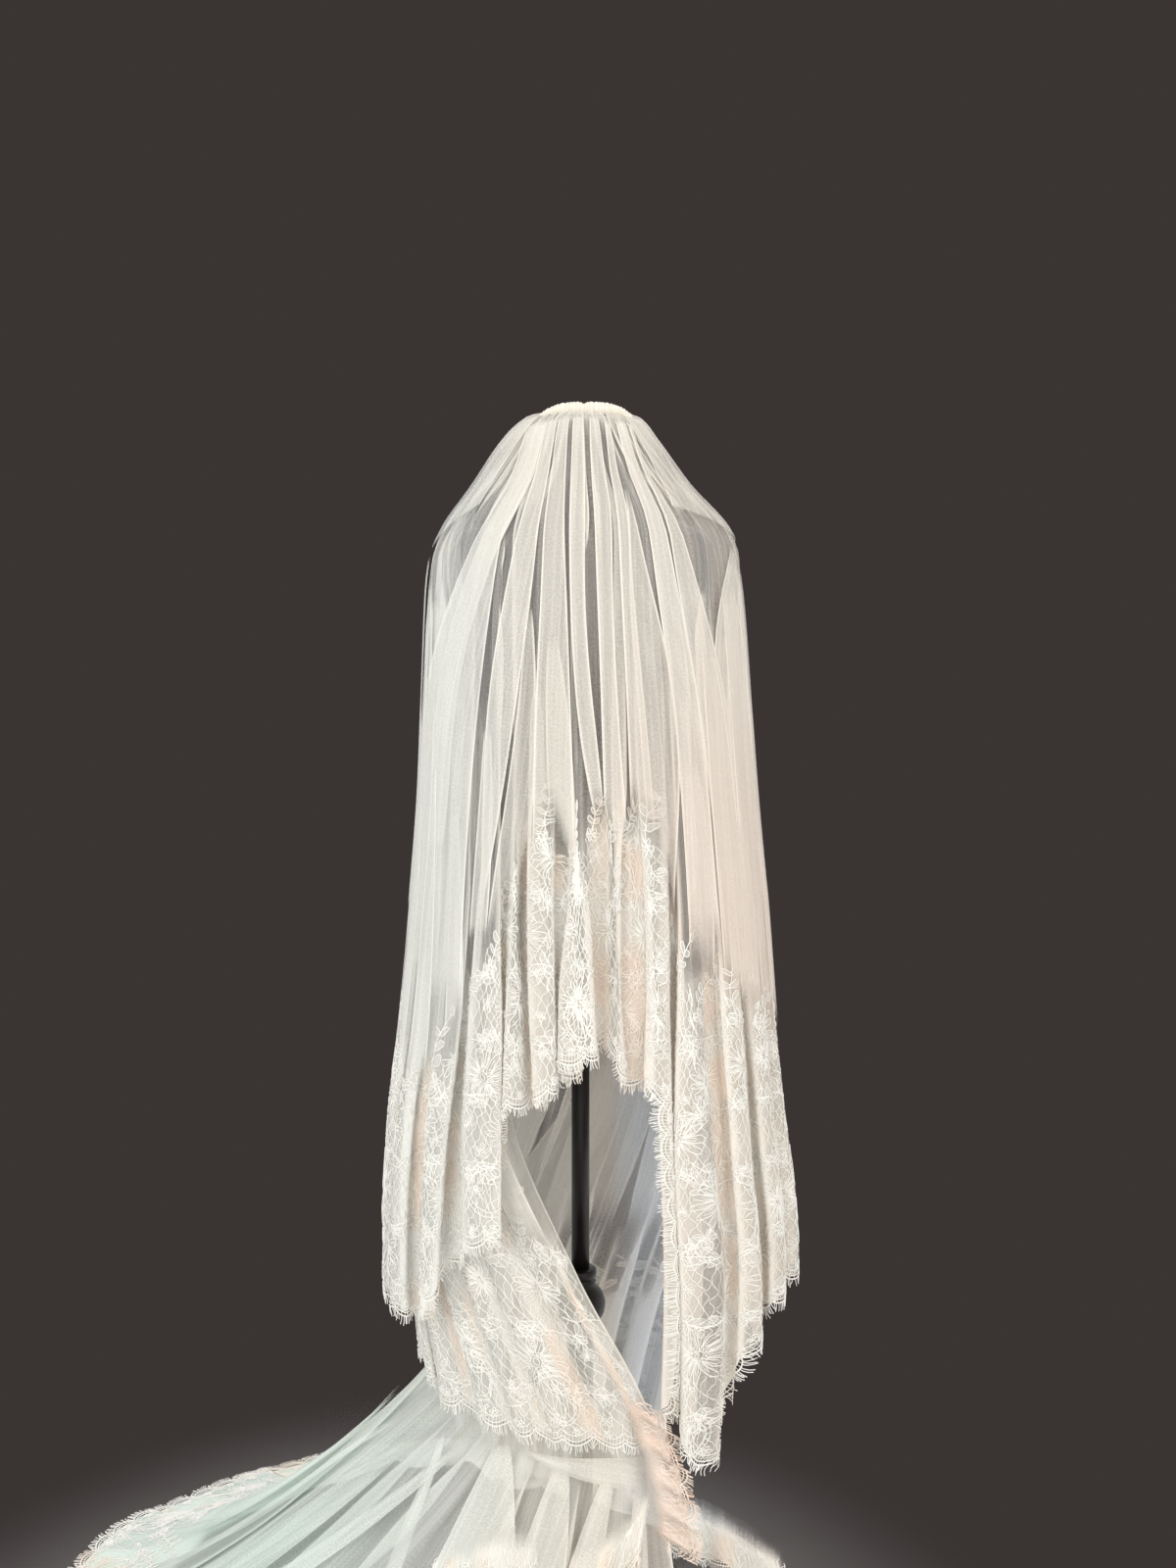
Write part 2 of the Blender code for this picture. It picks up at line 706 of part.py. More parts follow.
def comb(group):
    """A plain comb: its teeth lie back over the neck cap and its spine carries the heading."""
    bottom = CAP_TOP + GAP
    half = COMB_SPINE / 2
    pitch = COMB_WIDTH / (2 * COMB_TEETH - 1)
    outline = [(-COMB_WIDTH / 2, -half), (COMB_WIDTH / 2, -half)]
    for i in range(COMB_TEETH):
        right = COMB_WIDTH / 2 - 2 * i * pitch
        left = right - pitch
        root = half if i else -half
        if i:
            outline.append((right, root))
        taper = TOOTH_TAPER * pitch
        outline += [(right - taper, COMB_TOOTH), (left + taper, COMB_TOOTH)]
        if i < COMB_TEETH - 1:
            outline.append((left, half))
    points = [Vector((HEADING_SHIFT + x, y, bottom)) for x, y in outline]
    points += [point + Vector((0.0, 0.0, COMB_THICK)) for point in points]
    count = len(outline)
    faces = [tuple(range(count)), tuple(range(2 * count - 1, count - 1, -1))]
    faces += [(i, (i + 1) % count, (i + 1) % count + count, i + count) for i in range(count)]
    teeth = new_object("comb", points, faces, CLEAR, group)
    face_out(teeth)
    spine = bpy.data.objects.new("comb_spine", bpy.data.meshes.new("comb_spine"))
    work = bmesh.new()
    bmesh.ops.create_cube(work, size=1.0)
    rise = HEADING_BOTTOM - GAP - bottom - COMB_THICK / 2
    size = Vector((COMB_WIDTH * SPINE_LENGTH_SHARE, COMB_SPINE * SPINE_DEPTH_SHARE, rise))
    bmesh.ops.scale(work, vec=size, verts=work.verts)
    middle = Vector((HEADING_SHIFT, 0.0, bottom + COMB_THICK / 2 + rise / 2))
    bmesh.ops.translate(work, vec=middle, verts=work.verts)
    work.to_mesh(spine.data)
    work.free()
    spine.hide_render = True
    spine.display_type = "WIRE"
    join = teeth.modifiers.new("Spine", "BOOLEAN")
    join.operation = "UNION"
    join.solver = "EXACT"
    join.object = spine
    return spine


def torso(group):
    """The limbless form: oval sections from the hips to the top of the neck."""
    points = []
    faces = []
    for section in TORSO:
        for k in range(TORSO_SIDES):
            turn = 2 * math.pi * k / TORSO_SIDES
            along = math.cos(turn)
            depth = section.front if along >= 0 else section.back
            points.append(Vector((
                TORSO_SHIFT + section.side * math.sin(turn),
                -depth * along,
                section.z,
            )))
    for r in range(len(TORSO) - 1):
        for k in range(TORSO_SIDES):
            a = r * TORSO_SIDES + k
            b = r * TORSO_SIDES + (k + 1) % TORSO_SIDES
            faces.append((a, b, b + TORSO_SIDES, a + TORSO_SIDES))
    faces.append(tuple(reversed(range(TORSO_SIDES))))
    last = (len(TORSO) - 1) * TORSO_SIDES
    faces.append(tuple(range(last, last + TORSO_SIDES)))
    made = new_object("form_torso", points, faces, JERSEY, group)
    face_out(made)
    made.data.shade_smooth()
    made.data.set_sharp_from_angle(angle=math.radians(50))


def turned(name, profile, shift, finish, group):
    """A turned piece from its profile, listed from the top down its outer side."""
    points = [Vector((turn.radius, 0.0, turn.z)) for turn in profile]
    edges = [(i, i + 1) for i in range(len(points) - 1)]
    mesh = bpy.data.meshes.new(name)
    mesh.from_pydata([tuple(point) for point in points], edges, [])
    mesh.materials.append(material(finish))
    made = bpy.data.objects.new(name, mesh)
    made.location.x = shift
    group.objects.link(made)
    screw = made.modifiers.new("Turned", "SCREW")
    screw.steps = TURNED_STEPS
    screw.render_steps = TURNED_STEPS
    screw.use_merge_vertices = True
    screw.merge_threshold = 0.00001
    screw.use_smooth_shade = True
    return made


def closed_profile(profile):
    """The profile with its ends brought to the axis."""
    ends = (Turn(profile[0].z, 0.0),) + tuple(profile) + (Turn(profile[-1].z, 0.0),)
    return ends


def rod(name, radius, low, high, finish, group):
    """A round bar between two heights on the pole's axis."""
    mesh = bpy.data.meshes.new(name)
    work = bmesh.new()
    bmesh.ops.create_cone(
        work, cap_ends=True, segments=TURNED_STEPS, radius1=radius, radius2=radius,
        depth=high - low,
    )
    bmesh.ops.translate(work, vec=Vector((0.0, 0.0, (low + high) / 2)), verts=work.verts)
    work.to_mesh(mesh)
    work.free()
    mesh.materials.append(material(finish))
    made = bpy.data.objects.new(name, mesh)
    group.objects.link(made)
    return made


def base(group):
    """The round weighted base, its upper edge rounded."""
    made = rod("form_base", BASE_RADIUS, 0.0, BASE_THICK, BLACK, group)
    bevel = made.modifiers.new("Edge", "BEVEL")
    bevel.width = BASE_EDGE
    bevel.segments = 2
    bevel.limit_method = "ANGLE"
    bevel.angle_limit = math.radians(60)


def form(group):
    """The limbless dress form on its pole, turned post and base."""
    torso(group)
    turned("form_neck_cap", CAP, TORSO_SHIFT, BLACK, group)
    rod("form_pole", POLE_RADIUS, POST_TOP + GAP, TORSO_BOTTOM - GAP, BLACK, group)
    turned("form_post", closed_profile(POST), 0.0, BLACK, group)
    base(group)


def veil(group):
    """The heading, the two tiers with their lace and fringe, and the train."""
    heading(group)
    front = front_grid()
    steps = outward_steps(front)
    panel("front_tier", front, steps, 0.0, TULLE, group)
    front_border(front[len(FRONT_ROWS):], steps[len(FRONT_ROWS):], group)
    fringe("front_fringe", front, steps, group)
    back = back_grid()
    steps = outward_steps(back)
    panel("back_tier", back, steps, 0.0, TULLE, group)
    lace("back_lace", back[len(BACK_ROWS):], steps[len(BACK_ROWS):], group)
    crossing = 2 * len(back[0]) // 5
    strip = [row[crossing:] for row in back]
    fringe("back_fringe", strip, [row[crossing:] for row in steps], group)
    train = train_grid()
    steps = outward_steps(train)
    panel("train", train, steps, 0.0, TULLE, group)
    panel("train_lace", train[-2:], steps[-2:], SKIN_STEP, LACE, group)


def main():
    for old in list(bpy.data.objects):
        bpy.data.objects.remove(old, do_unlink=True)
    group = bpy.data.collections.new("bridal_veil_on_form")
    cutters = bpy.data.collections.new("joined_shapes")
    bpy.context.scene.collection.children.link(group)
    bpy.context.scene.collection.children.link(cutters)
    veil(group)
    cutters.objects.link(comb(group))
    form(group)


main()
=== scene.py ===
"""The looks of a two-tier bridal veil with lace borders and a train, on a limbless dress form.

Metres, +Z up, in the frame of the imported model: the origin is on the floor, on the axis of
the form's pole. The front of the veil faces -Y and the train is drawn out to -X. Angles run
round the pole in degrees: 0 is the front, 90 the +X side, 180 the back and 270 the -X side.
"""

import logging
import math
from dataclasses import dataclass, field
from enum import Enum

import bpy
import numpy as np
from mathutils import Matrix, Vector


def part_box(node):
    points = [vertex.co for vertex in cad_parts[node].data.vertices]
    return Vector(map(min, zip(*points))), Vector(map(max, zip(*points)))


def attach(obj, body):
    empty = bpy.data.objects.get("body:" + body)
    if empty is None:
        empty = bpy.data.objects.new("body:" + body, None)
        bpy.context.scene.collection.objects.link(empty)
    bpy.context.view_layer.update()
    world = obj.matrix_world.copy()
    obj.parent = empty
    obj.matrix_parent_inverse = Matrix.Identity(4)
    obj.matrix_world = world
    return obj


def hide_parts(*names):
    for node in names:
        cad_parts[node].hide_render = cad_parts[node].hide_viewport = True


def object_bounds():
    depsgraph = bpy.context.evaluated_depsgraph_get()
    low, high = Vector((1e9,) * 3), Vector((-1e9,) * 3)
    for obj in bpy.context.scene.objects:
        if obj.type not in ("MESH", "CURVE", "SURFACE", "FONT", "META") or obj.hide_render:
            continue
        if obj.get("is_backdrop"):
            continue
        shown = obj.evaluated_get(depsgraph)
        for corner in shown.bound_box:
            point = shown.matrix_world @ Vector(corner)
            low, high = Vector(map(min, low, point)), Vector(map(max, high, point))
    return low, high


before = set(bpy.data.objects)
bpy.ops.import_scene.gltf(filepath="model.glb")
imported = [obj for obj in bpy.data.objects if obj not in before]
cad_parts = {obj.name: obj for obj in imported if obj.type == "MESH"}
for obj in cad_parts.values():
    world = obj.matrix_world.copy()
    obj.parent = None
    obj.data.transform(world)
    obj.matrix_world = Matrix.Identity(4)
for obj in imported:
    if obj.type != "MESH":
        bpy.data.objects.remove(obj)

Array = np.ndarray
Material = bpy.types.Material
Piece = bpy.types.Object
Socket = bpy.types.NodeSocket
LOG = logging.getLogger("bridal_veil")
BODY = "root"
MM = 0.001
BAND = 0.314  # a wave texture of this scale has bands one metre apart


# -------------------- The cut of the veil: small tables with named columns --------------------


class Table:
    """Rows of numbers with named columns. A table that is read rises in its first one."""

    def __init__(self, names: str, *rows: tuple) -> None:
        """Keeps the rows under the columns' names."""
        self.names = names.split()
        self.rows = np.array(rows, float)

    def column(self, name: str) -> Array:
        """One named column."""
        return self.rows[:, self.names.index(name)]

    def read(self, name: str, at: Array) -> Array:
        """A column at many places of the first one, along a smooth curve."""
        return smooth(self.rows[:, 0], self.column(name), at)


def smooth(keys: Array, values: Array, at: Array) -> Array:
    """Values at many keys, by a smooth curve that never overshoots the given ones.

    Args:
        keys: rising keys.
        values: the value at each key.
        at: the keys that are asked for.

    Returns:
        The values, in the shape of `at`.
    """
    slopes = np.diff(values) / np.diff(keys)
    product = slopes[:-1] * slopes[1:]
    total = np.where(product > 0, slopes[:-1] + slopes[1:], 1.0)
    inner = np.where(product > 0, 2 * product / total, 0.0)
    tangents = np.concatenate(([slopes[0]], inner, [slopes[-1]]))
    at = np.clip(at, keys[0], keys[-1])
    low = np.clip(np.searchsorted(keys, at, side="right") - 1, 0, len(keys) - 2)
    step = keys[low + 1] - keys[low]
    t = (at - keys[low]) / step
    first = values[low] * (1 + 2 * t) * (1 - t) ** 2 + tangents[low] * step * t * (1 - t) ** 2
    last = values[low + 1] * t * t * (3 - 2 * t) - tangents[low + 1] * step * t * t * (1 - t)
    return first + last


def rows_of(kind: type, *rows: tuple) -> tuple:
    """Rows of one kind from their bare values."""
    return tuple(kind(*row) for row in rows)


TIER_TOP = 1.5875
# How far the cloth reaches from the pole's axis at each height.
ENVELOPE = Table(
    "z left right front back",
    (0.05, 0.232, 0.25, 0.205, 0.218), (0.35, 0.24, 0.268, 0.2, 0.206),
    (0.5, 0.25, 0.275, 0.194, 0.192), (0.65, 0.246, 0.261, 0.184, 0.172),
    (0.8, 0.229, 0.247, 0.172, 0.154), (0.95, 0.216, 0.237, 0.163, 0.142),
    (1.1, 0.206, 0.225, 0.158, 0.134), (1.25, 0.202, 0.217, 0.153, 0.13),
    (1.35, 0.2, 0.213, 0.141, 0.127), (1.4, 0.195, 0.208, 0.134, 0.124),
    (1.43, 0.183, 0.196, 0.128, 0.119), (1.49, 0.142, 0.144, 0.107, 0.103),
    (1.55, 0.102, 0.102, 0.075, 0.074), (1.576, 0.076, 0.083, 0.056, 0.056),
    (TIER_TOP, 0.05, 0.064, 0.006, 0.006),
)
# Half the depth of each tier's pleats, and how far the back tier lies in.
DEPTHS = Table(
    "z front back inset",
    (0.05, 0.014, 0.011, 0.038), (0.5, 0.013, 0.01, 0.036), (0.8, 0.01, 0.008, 0.03),
    (1.1, 0.0075, 0.006, 0.024), (1.25, 0.0055, 0.004, 0.0175), (1.4, 0.0028, 0.0018, 0.009),
    (1.49, 0.002, 0.0014, 0.0075), (1.576, 0.0012, 0.0009, 0.0045), (TIER_TOP, 0.0, 0.0, 0.0),
)
# The front tier's valleys: their angles at the waist and at the hem, and how deep they are.
FRONT_FOLDS = Table(
    "waist hem depth",
    (-114, -113, 0.9), (-98, -98, 1.1), (-82, -83, 0.8), (-66, -69, 1.1), (-51, -54, 0.9),
    (-36, -38, 1.5), (-26, -23, 0.8), (-17, -11, 1.4), (-6, -3, 0.7), (5, 6, 1.6), (16, 14, 0.8),
    (28, 27, 1.5), (40, 41, 0.9), (53, 54, 1.3), (68, 69, 0.8), (84, 84, 1.1), (100, 99, 0.9),
    (115, 114, 1.0),
)
# The front hem's height and its lace's top, by the angle.
FRONT_HEM = Table(
    "at hem lace",
    (-128, 0.64, 0.9), (-112, 0.56, 0.86), (-98, 0.515, 0.82), (-90, 0.545, 0.85), (-82, 0.475, 0.8),
    (-66, 0.45, 0.77), (-53, 0.455, 0.755), (-38, 0.53, 0.84), (-26, 0.59, 0.96), (-22, 0.71, 0.985),
    (-9, 0.735, 1.085), (-2, 0.762, 1.03), (7, 0.8, 1.085), (11, 0.762, 1.04), (16, 0.746, 1.09),
    (20, 0.74, 1.07), (24, 0.37, 1.05), (30, 0.345, 0.92), (36, 0.3, 0.9), (40, 0.345, 0.89),
    (45, 0.405, 0.88), (52, 0.445, 0.855), (62, 0.465, 0.84), (80, 0.48, 0.81), (88, 0.545, 0.83),
    (97, 0.5, 0.8), (112, 0.56, 0.83), (128, 0.64, 0.88),
)
# Valleys that stand open, so that one layer alone shows.
FRONT_SLOTS = Table(
    "angle top low open",
    (-66, 1.34, 0.92, 0.35), (-36, 1.5, 0.95, 0.75), (-26, 1.22, 0.8, 0.3), (-17, 1.5, 1.16, 0.85),
    (-6, 1.25, 0.85, 0.4), (5, 1.42, 0.9, 0.8), (16, 1.1, 0.75, 0.45), (28, 1.53, 1.18, 0.95),
    (40, 1.15, 0.8, 0.3), (53, 1.46, 1.12, 0.55), (84, 1.4, 0.9, 0.6), (-98, 1.4, 0.85, 0.6),
    (115, 1.3, 0.8, 0.5),
)
# The angles of the back tier's two free edges at each height.
BACK_SIDES = Table(
    "z right left",
    (0.05, 152, 392), (0.31, 140, 383), (0.5, 128, 361), (0.72, 114, 336), (1.1, 104, 322),
    (1.4, 104, 306), (1.49, 100, 292), (1.576, 93, 271), (TIER_TOP, 102, 258),
)
# The back hem's height and its lace's top, by the share of the way round.
BACK_HEM = Table(
    "at hem lace",
    (0.0, 0.165, 0.4), (0.12, 0.12, 0.38), (0.26, 0.12, 0.38), (0.36, 0.19, 0.44), (0.46, 0.28, 0.52),
    (0.56, 0.366, 0.59), (0.62, 0.37, 0.6), (0.68, 0.345, 0.585), (0.84, 0.33, 0.6),
    (1.0, 0.312, 0.57),
)
# Where the train's hem lies on the floor, and how fast the cloth comes down to it.
TRAIN_RAYS = Table(
    "share x y fall",
    (0.0, 0.3, 0.05, 7.0), (0.07, 0.22, 0.13, 5.0), (0.14, 0.105, 0.225, 3.0),
    (0.24, -0.035, 0.325, 2.2), (0.35, -0.225, 0.395, 1.9), (0.45, -0.49, 0.32, 1.8),
    (0.55, -0.695, 0.12, 1.9), (0.65, -0.725, -0.12, 1.7), (0.75, -0.61, -0.35, 1.7),
    (0.84, -0.36, -0.52, 2.0), (0.93, -0.06, -0.54, 2.0), (1.0, 0.17, -0.44, 2.0),
)
# The form's reach from its own axis at each height.
TORSO = Table(
    "z left right front back",
    (0.84, 0.14, 0.14, 0.095, 0.1), (0.855, 0.158, 0.158, 0.106, 0.112),
    (0.9, 0.166, 0.166, 0.11, 0.116), (0.96, 0.16, 0.16, 0.106, 0.108),
    (1.03, 0.136, 0.136, 0.094, 0.084), (1.09, 0.121, 0.121, 0.086, 0.074),
    (1.15, 0.13, 0.13, 0.094, 0.08), (1.22, 0.147, 0.147, 0.118, 0.09),
    (1.27, 0.156, 0.156, 0.124, 0.096), (1.33, 0.164, 0.164, 0.104, 0.101),
    (1.385, 0.172, 0.172, 0.086, 0.1), (1.415, 0.171, 0.171, 0.077, 0.094),
    (1.435, 0.152, 0.152, 0.068, 0.086), (1.452, 0.115, 0.115, 0.06, 0.076),
    (1.475, 0.072, 0.072, 0.053, 0.063), (1.505, 0.055, 0.055, 0.05, 0.052),
    (1.556, 0.048, 0.048, 0.047, 0.047),
)
# The turned post's outline, from the top down.
POST = Table(
    "z radius",
    (0.4585, 0.012), (0.4583, 0.014), (0.4572, 0.0195), (0.452, 0.0215), (0.447, 0.02), (0.444, 0.017),
    (0.4405, 0.0205), (0.437, 0.0185), (0.432, 0.023), (0.424, 0.0295), (0.412, 0.033), (0.4, 0.0315),
    (0.39, 0.025), (0.382, 0.0185), (0.36, 0.0165), (0.07, 0.0165), (0.04, 0.023), (0.022, 0.038),
    (0.0163, 0.04),
)


# -------------------- Small helpers --------------------


def ease(share: Array) -> Array:
    """0 to 1, level at both ends."""
    share = np.clip(share, 0.0, 1.0)
    return share * share * (3 - 2 * share)


def unit(vectors: Array) -> Array:
    """The vectors at length one."""
    return vectors / np.maximum(np.linalg.norm(vectors, axis=-1, keepdims=True), 1e-12)


def ripple(a: Array, b: Array, seed: float) -> Array:
    """Soft uneven waves between about -1 and 1 over two coordinates, the same every run."""
    first = np.sin(a * 1.0 + b * 0.7 + seed) + np.sin(a * 1.9 - b * 1.1 + seed * 2.3)
    return (first + np.sin(a * 3.1 + b * 2.3 + seed * 4.1)) / 3.0


def section(table: Table, angle: Array, z: Array) -> Array:
    """Points of an oval cross-section at angles and heights.

    Args:
        table: the section at each height.
        angle: angle round it.
        z: height.

    Returns:
        The points, one row of x, y and z each.
    """
    across, along = np.sin(np.radians(angle)), np.cos(np.radians(angle))
    side = np.where(across >= 0, table.read("right", z), table.read("left", z))
    depth = np.where(along >= 0, table.read("front", z), table.read("back", z))
    return np.stack(np.broadcast_arrays(side * across, -depth * along, z), axis=-1)


def curve(values: tuple, at: Array) -> Array:
    """The smooth line through values at even steps, read at shares of its way."""
    steps = np.linspace(0.0, 1.0, len(values))
    return np.polynomial.Polynomial.fit(steps, values, len(steps) - 1)(at)


def cloth_point(angle: Array, z: Array, out: Array) -> Array:
    """Points moved out square to the unpleated cloth.

    Args:
        angle: angles round the pole, in degrees.
        z: heights.
        out: how far each point is moved out.

    Returns:
        The points, with x, y and z along the last axis.
    """
    step, rise = 1.0, 0.012
    top = np.minimum(z + rise, TIER_TOP)
    round_it = section(ENVELOPE, angle + step, z) - section(ENVELOPE, angle - step, z)
    up = section(ENVELOPE, angle, top) - section(ENVELOPE, angle, top - 2 * rise)
    return section(ENVELOPE, angle, z) + unit(np.cross(round_it, up)) * out[..., None]


# -------------------- Finishes --------------------


class Nodes:
    """Builds one procedural material, node by node."""

    def __init__(self, name: str) -> None:
        """Starts an empty material with a Principled shader and its output.

        Args:
            name: the material's name.
        """
        self.material = bpy.data.materials.new(name)
        self.material.use_nodes = True
        self.tree = self.material.node_tree
        self.tree.nodes.clear()
        self.shader = self.add("BsdfPrincipled")
        self.add("OutputMaterial", {"Surface": self.shader.outputs["BSDF"]})

    def add(self, kind: str, given: dict | None = None, **settings: object) -> bpy.types.Node:
        """A new node with its settings, and with its inputs by name or by number.

        Args:
            kind: the node's type.
            given: what its inputs get.
            settings: its own settings.

        Returns:
            The node.
        """
        node = self.tree.nodes.new("ShaderNode" + kind)
        for name, value in settings.items():
            setattr(node, name, value)
        self.give(node, given or {})
        return node

    def give(self, node: bpy.types.Node, given: dict) -> None:
        """Sets a node's inputs to values, or links them to other nodes' outputs.

        Args:
            node: the node.
            given: a value or an output for each input.
        """
        for name, value in given.items():
            socket = node.inputs[name]
            if isinstance(value, Socket):
                self.tree.links.new(value, socket)
            else:
                socket.default_value = (*value, 1.0) if socket.type == "RGBA" else value

    def maths(self, operation: str, *values: object, clamp: bool = False) -> Socket:
        """A Math node's output for its inputs, each a number or an output."""
        given = dict(enumerate(values))
        return self.add("Math", given, operation=operation, use_clamp=clamp).outputs[0]

    def times(self, first: object, second: object) -> Socket:
        """The product of two values."""
        return self.maths("MULTIPLY", first, second)

    def onto(self, base: object, value: object, factor: object, clamp: bool = False) -> Socket:
        """A value times a factor, added to a base."""
        return self.maths("MULTIPLY_ADD", value, factor, base, clamp=clamp)

    def scaled(self, value: object, low: float, high: float, to_low: float = 0.0,
               to_high: float = 1.0) -> Socket:
        """A value stretched from one range to another, and held inside it."""
        given = {"Value": value, "From Min": low, "From Max": high, "To Min": to_low, "To Max": to_high}
        return self.add("MapRange", given, interpolation_type="SMOOTHSTEP").outputs["Result"]

    def blend(self, share: object, first: object, second: object) -> Socket:
        """A mix of two colours."""
        return self.add("Mix", {0: share, 6: first, 7: second}, data_type="RGBA").outputs[2]

    def attribute(self, name: str) -> Socket:
        """A mesh attribute's number."""
        return self.add("Attribute", attribute_name=name).outputs["Fac"]

    def flat_cut(self) -> Socket:
        """The cloth's own flat coordinates, in metres."""
        return self.add("UVMap", uv_map="flat_cut").outputs["UV"]

    def place(self) -> Socket:
        """The place in the part's own frame, in metres."""
        return self.add("TexCoord").outputs["Object"]

    def axes(self, place: Socket) -> bpy.types.bpy_prop_collection:
        """The x, y and z of a place."""
        return self.add("SeparateXYZ", {0: place}).outputs

    def noise(self, vector: object, scale: float, detail: float = 2.0) -> Socket:
        """A soft noise's number."""
        given = {"Vector": vector, "Scale": scale, "Detail": detail}
        return self.add("TexNoise", given).outputs["Fac"]

    def wave(self, vector: object, scale: float, distortion: float = 0.0, **settings: str) -> Socket:
        """A wave's number."""
        given = {"Vector": vector, "Scale": scale, "Distortion": distortion}
        return self.add("TexWave", given, **settings).outputs["Fac"]

    def stretched(self, vector: object, x: float, y: float, z: float = 1.0) -> Socket:
        """Coordinates scaled apart in each direction."""
        return self.add("VectorMath", {0: vector, 1: (x, y, z)}, operation="MULTIPLY").outputs[0]

    def finish(self, height: object, distance: float, strength: float, given: dict) -> Material:
        """The material, its surface raised by a height and its shader's inputs set.

        Args:
            height: the output that raises it.
            distance: how far.
            strength: how strongly.
            given: what the shader's inputs get.

        Returns:
            The material.
        """
        heights = {"Height": height, "Distance": distance, "Strength": strength}
        self.give(self.shader, given | {"Normal": self.add("Bump", heights).outputs["Normal"]})
        return self.material


@dataclass(frozen=True)
class Tulle:
    """Soft net: a fine mesh of thread, ivory where it lies in layers. Its colour carries painted light and
    shade: bluish light on the left, pink light on the right and lower down, pink shade in its valleys, peach
    shade in the lace's folds, pale bluish light on the inner back cloth, and a green light tint on the
    train.
    """

    name: str = "soft_tulle"
    ivory: tuple = (0.88, 0.845, 0.765)
    # Painted bluish light tint.
    cool_light_tint: tuple = (0.8, 0.85, 0.86)
    # Painted pink light and shade tint.
    blush_light_and_shade: tuple = (0.9, 0.745, 0.655)
    # Painted peach shade tint for the folds under the lace.
    peach: tuple = (0.93, 0.7, 0.54)
    # Painted green light tint.
    mint_light_tint: tuple = (0.7, 0.82, 0.745)
    mint_light_share: float = 0.0
    thin: float = 0.15
    mesh_size: float = 1.7 * MM
    mesh_turn: float = 0.85
    crease: float = 0.6
    backed: float = 0.15
    hollow: float = 0.3
    # How much denser the inner back cloth is made, so that its painted light shows.
    inner_light_density: float = 0.22
    # Share of the painted peach shade in the folds under the lace.
    shaded: float = 0.46
    # Painted pale bluish light on the inner back cloth, where the lamps hardly reach.
    inner: tuple = (0.89, 0.93, 0.98)
    grain: float = 0.13

    def material(self) -> Material:
        """The finish as a node material.

        Returns:
            The material.
        """
        make = Nodes(self.name)
        cut = make.flat_cut()
        crease, valley, lace = (make.attribute(name) for name in ("crease", "valley", "lace"))
        place = make.place()
        x, y, z = make.axes(place)
        threads = []
        for turn in (self.mesh_turn, -self.mesh_turn):
            turned = make.add("Mapping", {"Vector": cut, "Rotation": (0.0, 0.0, turn)}).outputs[0]
            threads.append(make.wave(turned, BAND / self.mesh_size, wave_type="BANDS",
                                     bands_direction="X"))
        net = make.maths("MAXIMUM", *threads)
        cloud = make.noise(make.stretched(cut, 26.0, 5.0), 1.0, 3.0)
        streak = make.noise(make.stretched(cut, 210.0, 2.2), 1.0, 2.0)
        density = make.onto(self.thin, make.scaled(net, 0.45, 0.95), 0.15)
        density = make.onto(density, make.scaled(streak, 0.42, 0.66), 0.1)
        density = make.onto(density, make.scaled(cloud, 0.35, 0.7), 0.07)
        speck = make.scaled(make.noise(make.stretched(cut, 430.0, 430.0), 1.0, 1.0), 0.34, 0.66)
        density = make.onto(density, make.maths("SUBTRACT", speck, 0.5), self.grain)
        density = make.onto(density, crease, self.crease)
        ground = make.times(lace, make.scaled(net, 0.3, 0.9, 0.4, 1.6))
        density = make.onto(density, ground, self.backed)
        # The inner back cloth, which gets painted light.
        inside = make.times(make.scaled(y, 0.06, 0.12), make.scaled(x, 0.03, 0.08, 0.25, 0.95))
        inside = make.times(inside, make.scaled(z, 1.15, 0.85))
        density = make.onto(density, inside, self.inner_light_density)
        hollow = make.times(make.scaled(valley, 0.45, 1.0), lace)
        density = make.onto(density, hollow, self.hollow)
        density = make.maths("MAXIMUM", make.maths("MINIMUM", density, 0.96), 0.0)
        # Painted bluish light on the left side.
        side = make.scaled(make.onto(x, cloud, 0.1), -0.16, 0.2)
        colour = make.blend(make.scaled(side, 0.0, 0.42, 0.45, 0.0), self.ivory, self.cool_light_tint)
        # Painted warm light on the right side, stronger lower down, and painted warm shade in the valleys;
        # less of both on the lace.
        low = make.scaled(z, 1.4, 0.95, 0.25, 1.0)
        warm = make.times(make.scaled(side, 0.5, 1.0, 0.0, 0.46), low)
        warm = make.onto(warm, make.times(valley, 0.16), side, clamp=True)
        warm = make.times(warm, make.scaled(lace, 0.0, 1.0, 1.0, 0.38))
        colour = make.blend(warm, colour, self.blush_light_and_shade)
        # Painted peach shade in the folds under the lace, in soft patches.
        patch = make.scaled(make.noise(place, 9.0), 0.44, 0.58)
        fold = make.times(make.scaled(valley, 0.55, 0.95), lace)
        colour = make.blend(make.times(make.times(fold, patch), self.shaded), colour, self.peach)
        # Painted pale bluish light on the inner back cloth.
        colour = make.blend(inside, colour, self.inner)
        # Painted green light tint on the train, stronger towards -X.
        if self.mint_light_share:
            share = make.times(make.scaled(x, -0.1, -0.42, 0.15, 1.0), self.mint_light_share)
            colour = make.blend(share, colour, self.mint_light_tint)
        return make.finish(net, 0.25 * MM, 0.5, {
            "Base Color": colour, "Alpha": density, "Roughness": 0.62, "Specular IOR Level": 0.25,
            "Sheen Weight": 0.35, "Sheen Roughness": 0.45, "Sheen Tint": (1.0, 0.99, 0.96)})


